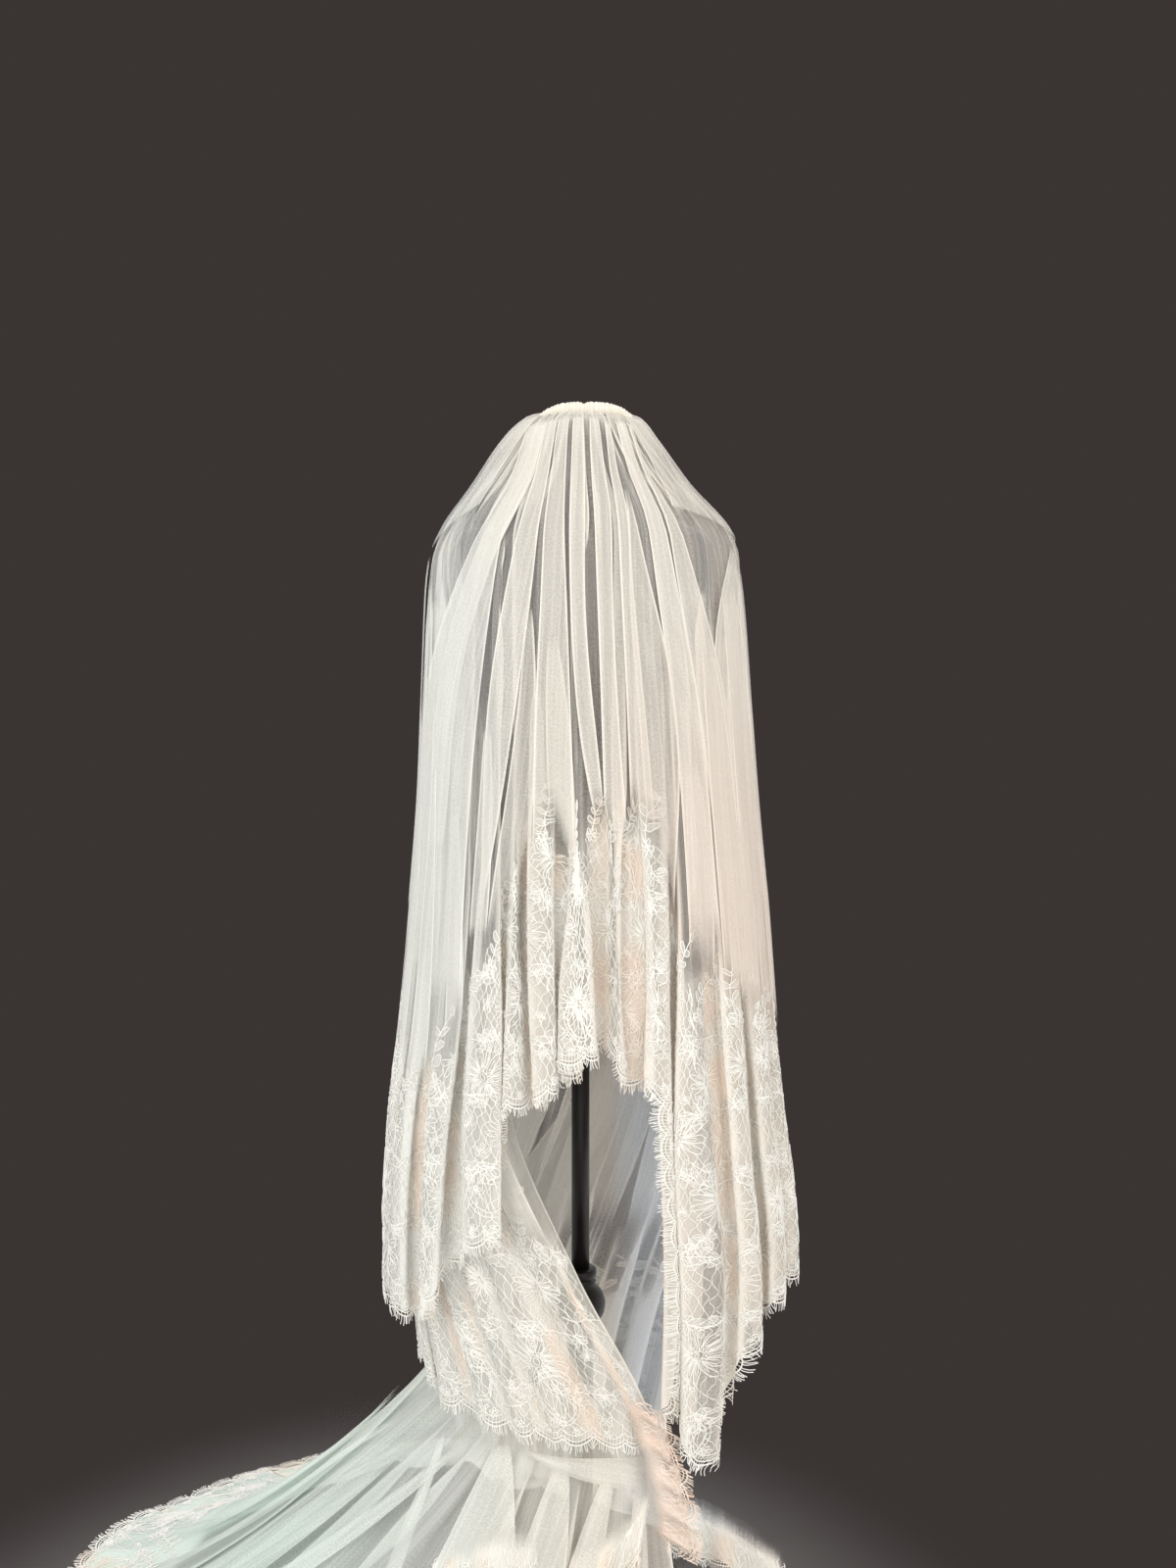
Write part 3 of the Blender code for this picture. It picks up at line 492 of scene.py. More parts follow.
@dataclass(frozen=True)
class Lace:
    """Corded lace: raised warm white thread, shaded to peach inside the folds."""

    name: str = "corded_lace"
    white: tuple = (0.93, 0.91, 0.85)
    # Painted peach shade tint for the folds.
    peach: tuple = (0.94, 0.77, 0.62)
    # Painted bluish light tint.
    cool_light_tint: tuple = (0.9, 0.925, 0.93)
    cover: float = 1.0
    fold_shade_share: float = 0.52

    def material(self) -> Material:
        """The finish as a node material.

        Returns:
            The material.
        """
        make = Nodes(self.name)
        place = make.place()
        x = make.axes(place)["X"]
        fuzz = make.noise(place, 1900.0, 1.0)
        patch = make.noise(place, 9.0)
        valley = make.attribute("valley")
        # Painted peach shade deep in the folds, in soft patches.
        deep = make.times(make.scaled(valley, 0.55, 0.95), make.scaled(patch, 0.44, 0.58))
        warm = make.times(deep, self.fold_shade_share)
        # Painted bluish light towards the -X side.
        colour = make.blend(make.scaled(x, -0.25, 0.02, 0.12, 0.0), self.white, self.cool_light_tint)
        colour = make.blend(warm, colour, self.peach)
        dim = make.scaled(fuzz, 0.3, 0.65, 0.9, 1.0)
        shade = make.add("VectorMath", {0: colour, "Scale": dim}, operation="SCALE")
        given = {"Base Color": shade.outputs[0], "Roughness": 0.55, "Specular IOR Level": 0.3,
                 "Sheen Weight": 0.3}
        if self.cover < 1.0:
            wave = make.wave(make.flat_cut(), 190.0, wave_type="BANDS", bands_direction="DIAGONAL")
            given["Alpha"] = make.scaled(wave, 0.3, 0.8, self.cover - 0.2, self.cover + 0.2)
        return make.finish(fuzz, 0.15 * MM, 0.6, given)


@dataclass(frozen=True)
class Jersey:
    """The form's dark grey knitted cover."""

    name: str = "form_jersey_knit"
    dark: tuple = (0.03, 0.032, 0.037)
    light: tuple = (0.06, 0.063, 0.07)
    rib: float = 1.5 * MM

    def material(self) -> Material:
        """The finish as a node material.

        Returns:
            The material.
        """
        make = Nodes(self.name)
        place = make.place()
        ribs = make.wave(place, BAND / self.rib, 0.6, wave_type="RINGS", rings_direction="Z")
        rows = make.wave(place, BAND / (self.rib * 0.8), wave_type="BANDS", bands_direction="Z")
        knit = make.times(rows, ribs)
        cloud = make.noise(place, 14.0, 3.0)
        share = make.onto(make.times(knit, 0.4), cloud, 0.6)
        return make.finish(knit, 0.3 * MM, 0.6, {
            "Base Color": make.blend(share, self.dark, self.light), "Roughness": 0.88,
            "Sheen Weight": 0.4, "Sheen Roughness": 0.5})


@dataclass(frozen=True)
class Lacquer:
    """Black lacquer over wood or steel: glossy, with faint handling marks."""

    name: str = "black_lacquer_gloss"
    black: tuple = (0.004, 0.0036, 0.0036)
    brown: tuple = (0.013, 0.009, 0.0075)

    def material(self) -> Material:
        """The finish as a node material.

        Returns:
            The material.
        """
        make = Nodes(self.name)
        wear = make.noise(make.stretched(make.place(), 30.0, 30.0, 5.0), 1.0, 4.0)
        return make.finish(wear, 0.1 * MM, 0.3, {
            "Base Color": make.blend(wear, self.black, self.brown),
            "Roughness": make.scaled(wear, 0.3, 0.75, 0.30, 0.45),
            "Specular IOR Level": 0.25, "Coat Weight": 0.22, "Coat Roughness": 0.16})


@dataclass(frozen=True)
class Clear:
    """The comb's clear moulded plastic, faintly milky."""

    name: str = "comb_clear_plastic"
    milky: tuple = (0.78, 0.74, 0.66)
    bright: tuple = (0.86, 0.83, 0.77)

    def material(self) -> Material:
        """The finish as a node material.

        Returns:
            The material.
        """
        make = Nodes(self.name)
        haze = make.noise(make.place(), 220.0)
        return make.finish(haze, 0.05 * MM, 0.3, {
            "Base Color": make.blend(haze, self.milky, self.bright),
            "Roughness": make.scaled(haze, 0.3, 0.7, 0.18, 0.34), "Alpha": 0.8})


@dataclass(frozen=True)
class Gathered:
    """The heading: tulle packed close by its gathering thread, nearly opaque."""

    name: str = "gathered_tulle"
    ivory: tuple = (0.9, 0.865, 0.775)
    shade: tuple = (0.74, 0.68, 0.585)

    def material(self) -> Material:
        """The finish as a node material.

        Returns:
            The material.
        """
        make = Nodes(self.name)
        cut = make.flat_cut()
        pleats = make.noise(make.stretched(cut, 620.0, 60.0), 1.0, 3.0)
        mesh = make.noise(make.stretched(cut, 1500.0, 1500.0), 1.0, 1.0)
        hollow = make.attribute("valley")
        share = make.onto(0.55, make.scaled(pleats, 0.35, 0.62), -0.45)
        share = make.onto(share, hollow, 0.45, clamp=True)
        colour = make.blend(share, self.ivory, self.shade)
        return make.finish(make.onto(pleats, mesh, 0.35), 0.6 * MM, 0.8, {
            "Base Color": colour, "Roughness": 0.7, "Sheen Weight": 0.3})


# -------------------- Meshes --------------------


class Skin(Enum):
    """Whether a grid is open, or closes on itself round its columns."""

    OPEN = 0
    ROUND = 1


def linked(name: str, data: bpy.types.ID) -> Piece:
    """A new object of some data, in the scene.

    Args:
        name: its name.
        data: its mesh or light.

    Returns:
        The object.
    """
    made = bpy.data.objects.new(name, data)
    bpy.context.scene.collection.objects.link(made)
    return made


def mesh_object(name: str, points: Array, faces: Array, materials: list,
                numbers: dict[str, Array] | None = None, flat: Array | None = None,
                slots: Array | None = None) -> Piece:
    """A smooth mesh piece from arrays.

    Args:
        name: the piece's name.
        points: the points, with x, y and z along the last axis.
        faces: one row of point numbers a face, all of one length.
        materials: the piece's materials, in the order of its slots.
        numbers: point attributes by name.
        flat: the flat coordinates of each point, kept as the UV map flat_cut.
        slots: the material slot of each face.

    Returns:
        The object, linked to the scene.
    """
    used, numbered = np.unique(faces, return_inverse=True)
    faces = numbered.reshape(faces.shape)
    mesh = bpy.data.meshes.new(name)
    mesh.from_pydata(points.reshape(-1, 3)[used].tolist(), [], faces.tolist())
    for entry in materials:
        mesh.materials.append(entry)
    for label, values in (numbers or {}).items():
        made = mesh.attributes.new(label, "FLOAT", "POINT")
        made.data.foreach_set("value", values.ravel()[used].astype(np.float32))
    if flat is not None:
        corners = np.zeros(len(mesh.loops), np.int32)
        mesh.loops.foreach_get("vertex_index", corners)
        layer = mesh.uv_layers.new(name="flat_cut")
        layer.data.foreach_set("uv", flat.reshape(-1, 2)[used][corners].astype(np.float32).ravel())
    if slots is not None:
        mesh.polygons.foreach_set("material_index", slots.astype(np.int32))
    mesh.shade_smooth()
    mesh.validate()
    mesh.update()
    return linked(name, mesh)


def dress(piece: Piece, slot: str, *nodes: str) -> Piece:
    """Seats a finished piece on the part.

    Args:
        piece: the piece.
        slot: the record's material slot named for the piece; not used.
        nodes: the solids that it stands for.

    Returns:
        The piece.
    """
    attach(piece, BODY)
    if nodes:
        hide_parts(*nodes)
    faces = sum(len(face.vertices) - 2 for face in piece.data.polygons)
    LOG.info("%s: %d triangles", piece.name, faces)
    return piece


def grid_faces(rows: int, columns: int, skin: Skin = Skin.OPEN) -> Array:
    """The four-cornered faces of a grid of points, facing out where its columns run with the
    angle and its rows run down.

    Args:
        rows: points down the grid.
        columns: points across it.
        skin: whether its columns close into a round.

    Returns:
        Four point numbers for each face.
    """
    width = columns if skin is Skin.ROUND else columns - 1
    r, c = np.meshgrid(np.arange(rows - 1), np.arange(width), indexing="ij")
    after = (c + 1) % columns
    corner = r * columns
    below = corner + columns
    return np.stack([corner + c, below + c, below + after, corner + after], -1).reshape(-1, 4)


def arc_lengths(points: Array, axis: int) -> Array:
    """How far along its row or column each point of a grid lies.

    Args:
        points: the grid.
        axis: the way along the grid to measure.

    Returns:
        A length for each point.
    """
    steps = np.linalg.norm(np.diff(points, axis=axis), axis=-1)
    start = np.zeros_like(np.take(steps, [0], axis=axis))
    return np.concatenate([start, np.cumsum(steps, axis=axis)], axis=axis)


@dataclass
class ClothMap:
    """A cloth's surface as rows of points, read by flat coordinates: across the cloth, and up
    it. It gives the place and the face side of any point of a pattern drawn flat."""

    points: Array
    across: Array
    start: float
    step: float
    valley: Array
    normals: Array = field(init=False)

    def __post_init__(self) -> None:
        """Works out which way the cloth's face side looks."""
        self.normals = unit(np.cross(np.gradient(self.points, axis=1),
                                     np.gradient(self.points, axis=0)))

    def place(self, u: Array, v: Array) -> tuple[Array, Array, Array]:
        """Reads the cloth at flat coordinates.

        Args:
            u: how far across the cloth each point lies.
            v: how far up it lies.

        Returns:
            The points, the directions out of the cloth's face, and how deep in a valley
            each one lies, from 0 to 1.
        """
        rows, columns = self.valley.shape
        c = np.clip(np.interp(u, self.across, np.arange(columns)), 0, columns - 1.001)
        r = np.clip((v - self.start) / self.step, 0, rows - 1.001)
        c0, r0 = c.astype(int), r.astype(int)
        fc, fr = c - c0, r - r0
        found = []
        for values in (self.points, self.normals, self.valley[..., None]):
            low = values[r0, c0] * (1 - fc)[..., None] + values[r0, c0 + 1] * fc[..., None]
            high = values[r0 + 1, c0] * (1 - fc)[..., None] + values[r0 + 1, c0 + 1] * fc[..., None]
            found.append(low * (1 - fr)[..., None] + high * fr[..., None])
        return found[0], unit(found[1]), found[2][..., 0]


class Thread(Enum):
    """A fine flat thread, or a raised cord."""

    FINE = 0
    CORD = 1


class Threads:
    """Collects the raised threads and the dense fillings of one lace, and joins them."""

    def __init__(self, cloth: ClothMap, lift: float) -> None:
        """Starts with no thread.

        Args:
            cloth: the surface that the lace lies on.
            lift: how far out of that surface it lies.
        """
        self.cloth = cloth
        self.lift = lift
        self.blocks: list[tuple[Array, Array, Array, Array]] = []
        self.count = 0

    def keep(self, points: Array, valley: Array, flat: Array, faces: Array, slot: int) -> None:
        """Keeps one block of points with its faces, numbered on from the blocks before.

        Args:
            points: the block's points.
            valley: how deep in a valley each lies.
            flat: their places on the flat cloth.
            faces: its faces.
            slot: the material slot they take.
        """
        self.blocks.append((points.reshape(-1, 3), valley.ravel(), flat.reshape(-1, 2),
                            np.column_stack([faces.reshape(-1, 4) + self.count,
                                             np.full(faces.size // 4, slot)])))
        self.count += len(self.blocks[-1][0])

    def draw(self, lines: Array, half: float, shown: Array | None = None,
             thread: Thread = Thread.CORD) -> None:
        """Draws threads along lines.

        Args:
            lines: for each thread its points in flat coordinates.
            half: half the thread's width.
            shown: for each point whether the thread is there.
            thread: whether it lies flat or stands out as a low ridge.
        """
        points, normals, valley = self.cloth.place(lines[..., 0], lines[..., 1])
        side = unit(np.cross(normals, np.gradient(points, axis=1))) * half
        low = points + normals * self.lift
        rows = [low - side, low + side]
        if thread is Thread.CORD:
            rows.insert(1, low + normals * half * 0.9)
        block = np.stack(rows, axis=2)
        number = np.arange(block[..., 0].size).reshape(block.shape[:3])
        a, b = number[:, :-1], number[:, 1:]
        faces = np.stack([a[..., :-1], b[..., :-1], b[..., 1:], a[..., 1:]], axis=-1)
        if shown is not None:
            faces = faces[shown[:, :-1] & shown[:, 1:]]
        flat = np.repeat(lines[:, :, None, :], len(rows), axis=2)
        self.keep(block, np.repeat(valley[..., None], len(rows), axis=-1), flat, faces, 0)

    def fill(self, loops: Array, shown: Array | None = None) -> None:
        """Fills closed outlines of an even number of points with dense thin stitching.

        Args:
            loops: for each outline its points in flat coordinates.
            shown: for each outline whether it is there.
        """
        loops = loops if shown is None else loops[shown]
        if not len(loops):
            return
        whole = np.concatenate([loops.mean(axis=1, keepdims=True), loops], axis=1)
        points, normals, valley = self.cloth.place(whole[..., 0], whole[..., 1])
        number = np.arange(whole[..., 0].size).reshape(whole.shape[:2])
        rim = number[:, 1:]
        faces = np.stack([
            np.broadcast_to(number[:, :1], rim[:, ::2].shape),
            rim[:, ::2], rim[:, 1::2], np.roll(rim, -2, axis=1)[:, ::2],
        ], axis=-1)
        self.keep(points + normals * self.lift * 0.7, valley, whole, faces, 1)

    def piece(self, name: str, materials: list, low: float = -math.inf,
              high: float = math.inf) -> Piece:
        """Joins what lies between two places across the cloth into one mesh piece.

        Args:
            name: the piece's name.
            materials: the thread's finish and the filling's.
            low: the lowest place across the cloth.
            high: the highest.

        Returns:
            The piece.
        """
        points, valley, flat, faces = (np.concatenate(part) for part in zip(*self.blocks))
        middle = flat[faces[:, 0], 0]
        faces = faces[(middle >= low) & (middle < high)]
        return mesh_object(name, points, faces[:, :4], materials, {"valley": valley}, flat,
                           faces[:, 4])


def stroke(u: Array, v: Array) -> Array:
    """Flat points from their two coordinates."""
    return np.stack(np.broadcast_arrays(u, v), axis=-1)


def placed(shape: Array, centres: Array, turns: Array, sizes: Array) -> Array:
    """Copies of flat outlines, turned, sized and moved.

    Args:
        shape: outlines of one motif, each a row of points about its middle.
        centres: the middle of each copy.
        turns: the turn of each copy, in radians.
        sizes: the size of each copy against the motif's own.

    Returns:
        All outlines of all copies.
    """
    c, s = np.cos(turns), np.sin(turns)
    spin = np.stack([np.stack([c, s], -1), np.stack([-s, c], -1)], axis=1) * sizes[:, None, None]
    copies = np.einsum("lki,mij->mlkj", shape, spin) + centres[:, None, None, :]
    return copies.reshape(-1, *shape.shape[1:])


def petals(count: int, inner: float, outer: float, width: float, points: int = 9) -> Array:
    """The teardrop petals of a flower, each a loop that starts and ends at its root.

    Args:
        count: how many.
        inner: radius at the roots.
        outer: radius at the tips.
        width: a petal's width.
        points: points in each loop.

    Returns:
        A loop of flat points for each petal.
    """
    t = np.linspace(0.0, 1.0, points)
    reach = inner + (outer - inner) * (1 - np.cos(math.tau * t)) / 2
    spread = width * np.sin(math.tau * t) * np.sqrt(reach / outer)
    turn = math.tau * np.arange(count)[:, None] / count
    return stroke(reach * np.cos(turn) - spread * np.sin(turn),
                  reach * np.sin(turn) + spread * np.cos(turn))


def rings(radii: tuple, sides: int, squash: float = 1.0) -> Array:
    """Closed rounds about one middle."""
    t = math.tau * np.arange(sides + 1) / sides
    return np.stack([stroke(r * np.cos(t), r * squash * np.sin(t)) for r in radii])


def leaves(pairs: int, stem: float, leaf: float, curl: float) -> tuple[Array, Array]:
    """A curved sprig: its stem and midribs, and its leaves in pairs with one at the tip.

    Args:
        pairs: how many pairs of leaves.
        stem: the stem's length.
        leaf: a leaf's length.
        curl: how far the stem's tip turns, in radians.

    Returns:
        The stem as one line, and the leaves' outlines.
    """
    t = np.linspace(0.0, 1.0, 9)
    line = stroke(stem * t * np.sin(curl * t), stem * t * np.cos(curl * t * 0.5))
    blades = []
    for i in range(2 * pairs + 1):
        at = 1.0 if i == 2 * pairs else 0.28 + 0.66 * (i // 2) / pairs
        lean = curl * at + (0.0 if i == 2 * pairs else (0.95 if i % 2 else -0.95))
        root = stroke(np.array(stem * at * np.sin(curl * at)),
                      np.array(stem * at * np.cos(curl * at * 0.5)))
        size = leaf * (1.15 - 0.35 * at)
        s = np.linspace(0.0, 1.0, 9)
        long = size * (1 - np.cos(math.tau * s)) / 2
        wide = size * 0.24 * np.sin(math.tau * s)
        blades.append(root + stroke(long * np.sin(lean) + wide * np.cos(lean),
                                    long * np.cos(lean) - wide * np.sin(lean)))
    return line[None], np.stack(blades)


def bow(share: Array) -> Array:
    """How far a scallop's outline stands out along its way, from 0 to 1."""
    return np.sin(math.pi * share) ** 0.7


@dataclass
class LaceBorder:
    """A corded lace border: a net of wavy vines, many-petalled flowers, leafy sprigs, ovals
    with ladder bars, and a scalloped edge with eyelash threads. It is drawn flat and laid on
    the cloth's own surface."""

    cloth: ClothMap
    hem: Array
    top: Array
    seed: int
    vine_pitch: float = 5.6 * MM
    vine_sway: float = 2.5 * MM
    vine_wave: float = 11.0 * MM
    vine_half: float = 0.46 * MM
    flower_across: float = 0.1
    flower_up: float = 0.082
    flower_size: float = 0.032
    cord_half: float = 0.72 * MM
    sprig_reach: float = 0.034
    blossom_pitch: float = 0.036
    bud_pitch: float = 0.044
    bud_climb: float = 0.1
    oval_pitch: float = 0.108
    oval_set: float = 0.046
    oval_radii: tuple = (0.0235, 0.0195)
    oval_tall: float = 1.25
    scallop_pitch: float = 0.034
    scallop_depth: float = 0.009
    scallop_lines: tuple = (0.0, 0.0045, 0.0115)
    lash_pitch: float = 2.3 * MM
    lash_length: float = 10.5 * MM
    lash_half: float = 0.5 * MM
    lift: float = 1.0 * MM
    spare: float = 2.0 * MM
    hem_steps: int = 1600
    even_step: float = 2.0 * MM
    climb: float = 0.0
    threads: Threads = field(init=False)
    lashes: Threads = field(init=False)
    random: np.random.Generator = field(init=False)
    even: Array = field(init=False)
    line: Array = field(init=False)
    inward: Array = field(init=False)
    length: float = field(init=False)

    def __post_init__(self) -> None:
        """Draws the whole border."""
        self.random = np.random.default_rng(self.seed)
        self.threads = Threads(self.cloth, self.lift)
        self.lashes = Threads(self.cloth, self.lift)
        self.trace_hem()
        flowers = self.flower_places()
        self.vines(flowers)
        self.flowers(flowers)
        self.sprigs(flowers[0])
        self.blossoms(flowers)
        self.crown()
        self.ovals()
        self.scallops()
        self.fringe()

    def hem_at(self, u: Array) -> Array:
        """The hem's height at places across the cloth."""
        return np.interp(u, self.cloth.across, self.hem)

    def top_at(self, u: Array) -> Array:
        """The height of the lace's uneven top at places across the cloth.

        Args:
            u: place across the cloth.

        Returns:
            A height for each place.
        """
        height = np.interp(u, self.cloth.across, self.top)
        tooth = 0.5 + 0.5 * ripple(u * 61.0, u * 17.0, self.seed)
        return height - (height - self.hem_at(u)) * 0.16 * tooth

    def inside(self, points: Array, margin: float = 0.0) -> Array:
        """Which flat points lie between the hem and the lace's top.

        Args:
            points: flat points.
            margin: how far inside they have to lie.

        Returns:
            True for each point that does.
        """
        u, v = points[..., 0], points[..., 1]
        ends = (u > self.cloth.across[0] + margin) & (u < self.cloth.across[-1] - margin)
        return ends & (v > self.hem_at(u) + margin) & (v < self.top_at(u) + self.climb - margin * 0.5)

    def organic(self, points: Array) -> Array:
        """The points moved a little off their ruled places, softly and unevenly.

        Args:
            points: flat points.

        Returns:
            The moved points.
        """
        u, v = points[..., 0], points[..., 1]
        fine = 1.6 * MM * ripple(u * 240.0, v * 190.0, 2.0 + self.seed)
        return stroke(u + 3.0 * MM * ripple(u * 71.0, v * 83.0, 1.0 + self.seed) + fine,
                      v + 3.0 * MM * ripple(u * 47.0, v * 67.0, 4.0 + self.seed) - fine)

    def trace_hem(self) -> None:
        """Measures the hem as a curve, for what is drawn along it."""
        u = np.linspace(self.cloth.across[0], self.cloth.across[-1], self.hem_steps)
        v = self.hem_at(u)
        along = np.concatenate([[0.0], np.cumsum(np.hypot(np.diff(u), np.diff(v)))])
        self.even = np.arange(0.0, along[-1], self.even_step)
        window = np.hanning(11) / np.hanning(11).sum()
        self.line = stroke(*(
            np.convolve(np.pad(np.interp(self.even, along, values), 5, mode="edge"), window, "valid")
            for values in (u, v)
        ))
        way = unit(np.gradient(self.line, axis=0))
        self.inward = stroke(-way[:, 1], way[:, 0])
        self.length = along[-1]

    def by_hem(self, s: Array, inward: Array) -> Array:
        """Flat points at lengths along the hem and distances in from it.

        Args:
            s: length along the hem.
            inward: distance in from it.

        Returns:
            The flat points.
        """
        line, way = (stroke(*(np.interp(s, self.even, part) for part in values.T))
                     for values in (self.line, self.inward))
        return line + way * np.asarray(inward)[..., None]

    def spread(self, across: float, up: float) -> tuple[Array, Array]:
        """Even places across the border and up it."""
        return (np.arange(self.cloth.across[0], self.cloth.across[-1], across),
                np.arange(self.hem.min(), self.top.max(), up))

    def clear(self, points: Array, flowers: tuple[Array, Array], share: float) -> Array:
        """Which flat points lie outside a share of every large flower.

        Args:
            points: flat points.
            flowers: the large flowers' places and sizes.
            share: the share of a flower's size to keep clear.

        Returns:
            True for each point outside.
        """
        found = np.ones(points.shape[:-1], bool)
        for centre, size in zip(*flowers):
            found &= np.hypot(*np.moveaxis(points - centre, -1, 0)) > size * share
        return found

    def flower_places(self) -> tuple[Array, Array]:
        """Where the large flowers sit, in staggered uneven rows, and how large each is.

        Returns:
            The flowers' flat places, and their sizes.
        """
        across, _ = self.spread(self.flower_across, self.flower_up)
        low = self.hem.min()
        found, sizes = [], []
        for row in range(int((self.top.max() - low) / self.flower_up) + 1):
            u = across + self.flower_across * (0.25 if row % 2 else 0.75)
            u = u + self.random.uniform(-0.016, 0.016, len(u))
            v = low + self.flower_up * (row + 0.55) + self.random.uniform(-0.014, 0.014, len(u))
            found.append(stroke(u, v))
            sizes.append(self.flower_size * self.random.uniform(0.78, 1.12, len(u)))
        centres, sizes = np.concatenate(found), np.concatenate(sizes)
        fits = self.inside(centres, 0.03)
        return centres[fits], sizes[fits]

    def vines(self, flowers: tuple[Array, Array]) -> None:
        """Draws the net of wavy vines that meet and part, open round the flowers.

        Args:
            flowers: the large flowers' places and sizes.
        """
        u, v = self.spread(self.vine_pitch, self.vine_wave / 4)
        turn = np.where(np.arange(len(u)) % 2, 1.0, -1.0)[:, None]
        uneven = 1.9 * ripple(u[:, None] * 53.0, v * 41.0, 6.0 + self.seed)
        sway = self.vine_sway * turn * np.sin(math.pi * v / self.vine_wave + uneven)
        lines = stroke(u[:, None] + sway, v)
        shown = self.inside(lines, 0.004) & self.clear(lines, flowers, 0.8)
        self.threads.draw(self.organic(lines), self.vine_half, shown, Thread.FINE)

    def motif(self, shape: Array, copies: tuple, thread: Thread, filled: bool = False,
              ruled: bool = False) -> None:
        """Draws copies of a motif where they lie inside the border.

        Args:
            shape: the motif's outlines about its middle.
            copies: the middle of each copy, its turn and its size.
            thread: what they are drawn with.
            filled: whether each outline is stitched full.
            ruled: whether the outlines stay as they are drawn.
        """
        lines = placed(shape, *copies)
        lines = lines if ruled else self.organic(lines)
        shown = self.inside(lines, -self.spare)
        half = self.cord_half if thread is Thread.CORD else self.vine_half
        self.threads.draw(lines, half, shown, thread)
        if filled:
            self.threads.fill(lines[:, :-1], shown.all(axis=1))

    def uneven(self, middles: Array, turn: tuple, size: tuple) -> tuple[Array, Array, Array]:
        """Copies at given places, each with its own turn and size between two limits."""
        turns = self.random.uniform(*turn, len(middles))
        return middles, turns, self.random.uniform(*size, len(middles))

    def flowers(self, flowers: tuple[Array, Array]) -> None:
        """Draws the large flowers: two rounds of petals about a beaded heart.

        Args:
            flowers: the large flowers' places and sizes.
        """
        centres, sizes = flowers
        r = self.flower_size
        copies = centres, self.random.uniform(0.0, math.pi, len(centres)), sizes / r
        self.motif(petals(13, 0.2 * r, r, 0.15 * r), copies, Thread.CORD)
        self.motif(petals(13, 0.3 * r, 0.72 * r, 0.06 * r, 7), copies, Thread.FINE)
        self.motif(rings((0.1 * r, 0.19 * r), 8), copies, Thread.CORD)

    def sprigs(self, centres: Array) -> None:
        """Draws leafy sprigs that run out between the flowers.

        Args:
            centres: the large flowers' places.
        """
        for curl, turn in ((0.9, 0.6), (-0.9, -0.7), (0.7, 3.6), (-0.8, 2.6)):
            roots = centres + self.sprig_reach * np.array([np.sin(turn), np.cos(turn)])
            roots = roots[self.inside(roots, 0.006)]
            turns = -turn + self.random.uniform(-0.35, 0.35, len(roots))
            copies = roots, turns, self.random.uniform(0.8, 1.15, len(roots))
            stem, blades = leaves(3, 0.044, 0.017, curl)
            self.motif(stem, copies, Thread.CORD)
            self.motif(blades, copies, Thread.FINE, filled=True)

    def blossoms(self, flowers: tuple[Array, Array]) -> None:
        """Scatters small five-petalled blossoms between the large flowers.

        Args:
            flowers: the large flowers' places and sizes.
        """
        places = np.meshgrid(*self.spread(self.blossom_pitch, self.blossom_pitch))
        places = stroke(*places).reshape(-1, 2)
        places = places + self.random.uniform(-0.45, 0.45, places.shape) * self.blossom_pitch
        copies = self.uneven(places, (0.0, math.pi), (0.6, 1.25))
        kept = self.inside(places, 0.006) & self.clear(places, flowers, 1.05)
        copies = tuple(part[kept] for part in copies)
        self.motif(petals(5, 0.0015, 0.0105, 0.0034, 7), copies, Thread.FINE, filled=True)
        self.motif(rings((0.0016,), 5), copies, Thread.FINE)

    def crown(self) -> None:
        """Draws the sprays of buds that climb out of the lace's top."""
        start, end = self.cloth.across[[0, -1]] + (self.bud_pitch, -self.bud_pitch)
        u = np.arange(start, end, self.bud_pitch)
        u = u + self.random.uniform(-0.012, 0.012, len(u))
        v = self.top_at(u) - self.bud_pitch / 2
        roots = stroke(u, v)[v > self.hem_at(u) + 0.05]
        copies = self.uneven(roots, (-0.45, 0.45), (0.75, 1.35))
        self.climb = self.bud_climb
        stem, blades = leaves(3, 0.06, 0.014, 0.5)
        self.motif(stem, copies, Thread.CORD)
        for shape in (blades, petals(6, 0.002, 0.011, 0.0036)):
            self.motif(shape, copies, Thread.CORD, filled=True)
        self.climb = 0.0

    def ovals(self) -> None:
        """Draws the ovals along the hem: two outlines with ladder bars, and hatching."""
        s = np.arange(0.5 * self.oval_pitch, self.length, self.oval_pitch)
        centres = self.by_hem(s, self.oval_set)
        copies = self.uneven(centres[self.inside(centres, 0.012)], (-0.5, 0.5), (0.85, 1.15))
        outlines = rings(self.oval_radii, 24, self.oval_tall)
        self.motif(outlines, copies, Thread.CORD)
        self.motif(outlines[::-1, :-1].swapaxes(0, 1), copies, Thread.FINE, ruled=True)
        radius = 0.0185
        across = np.linspace(-0.012, 0.012, 6)
        reach = radius * np.sqrt(1 - (across / radius) ** 2) * 0.9
        hatch = stroke(across[:, None], self.oval_tall * reach[:, None] * np.linspace(-1.0, 1.0, 5))
        self.motif(hatch, copies, Thread.FINE)
        self.motif(leaves(2, 0.02, 0.012, 1.6)[1], copies, Thread.CORD)

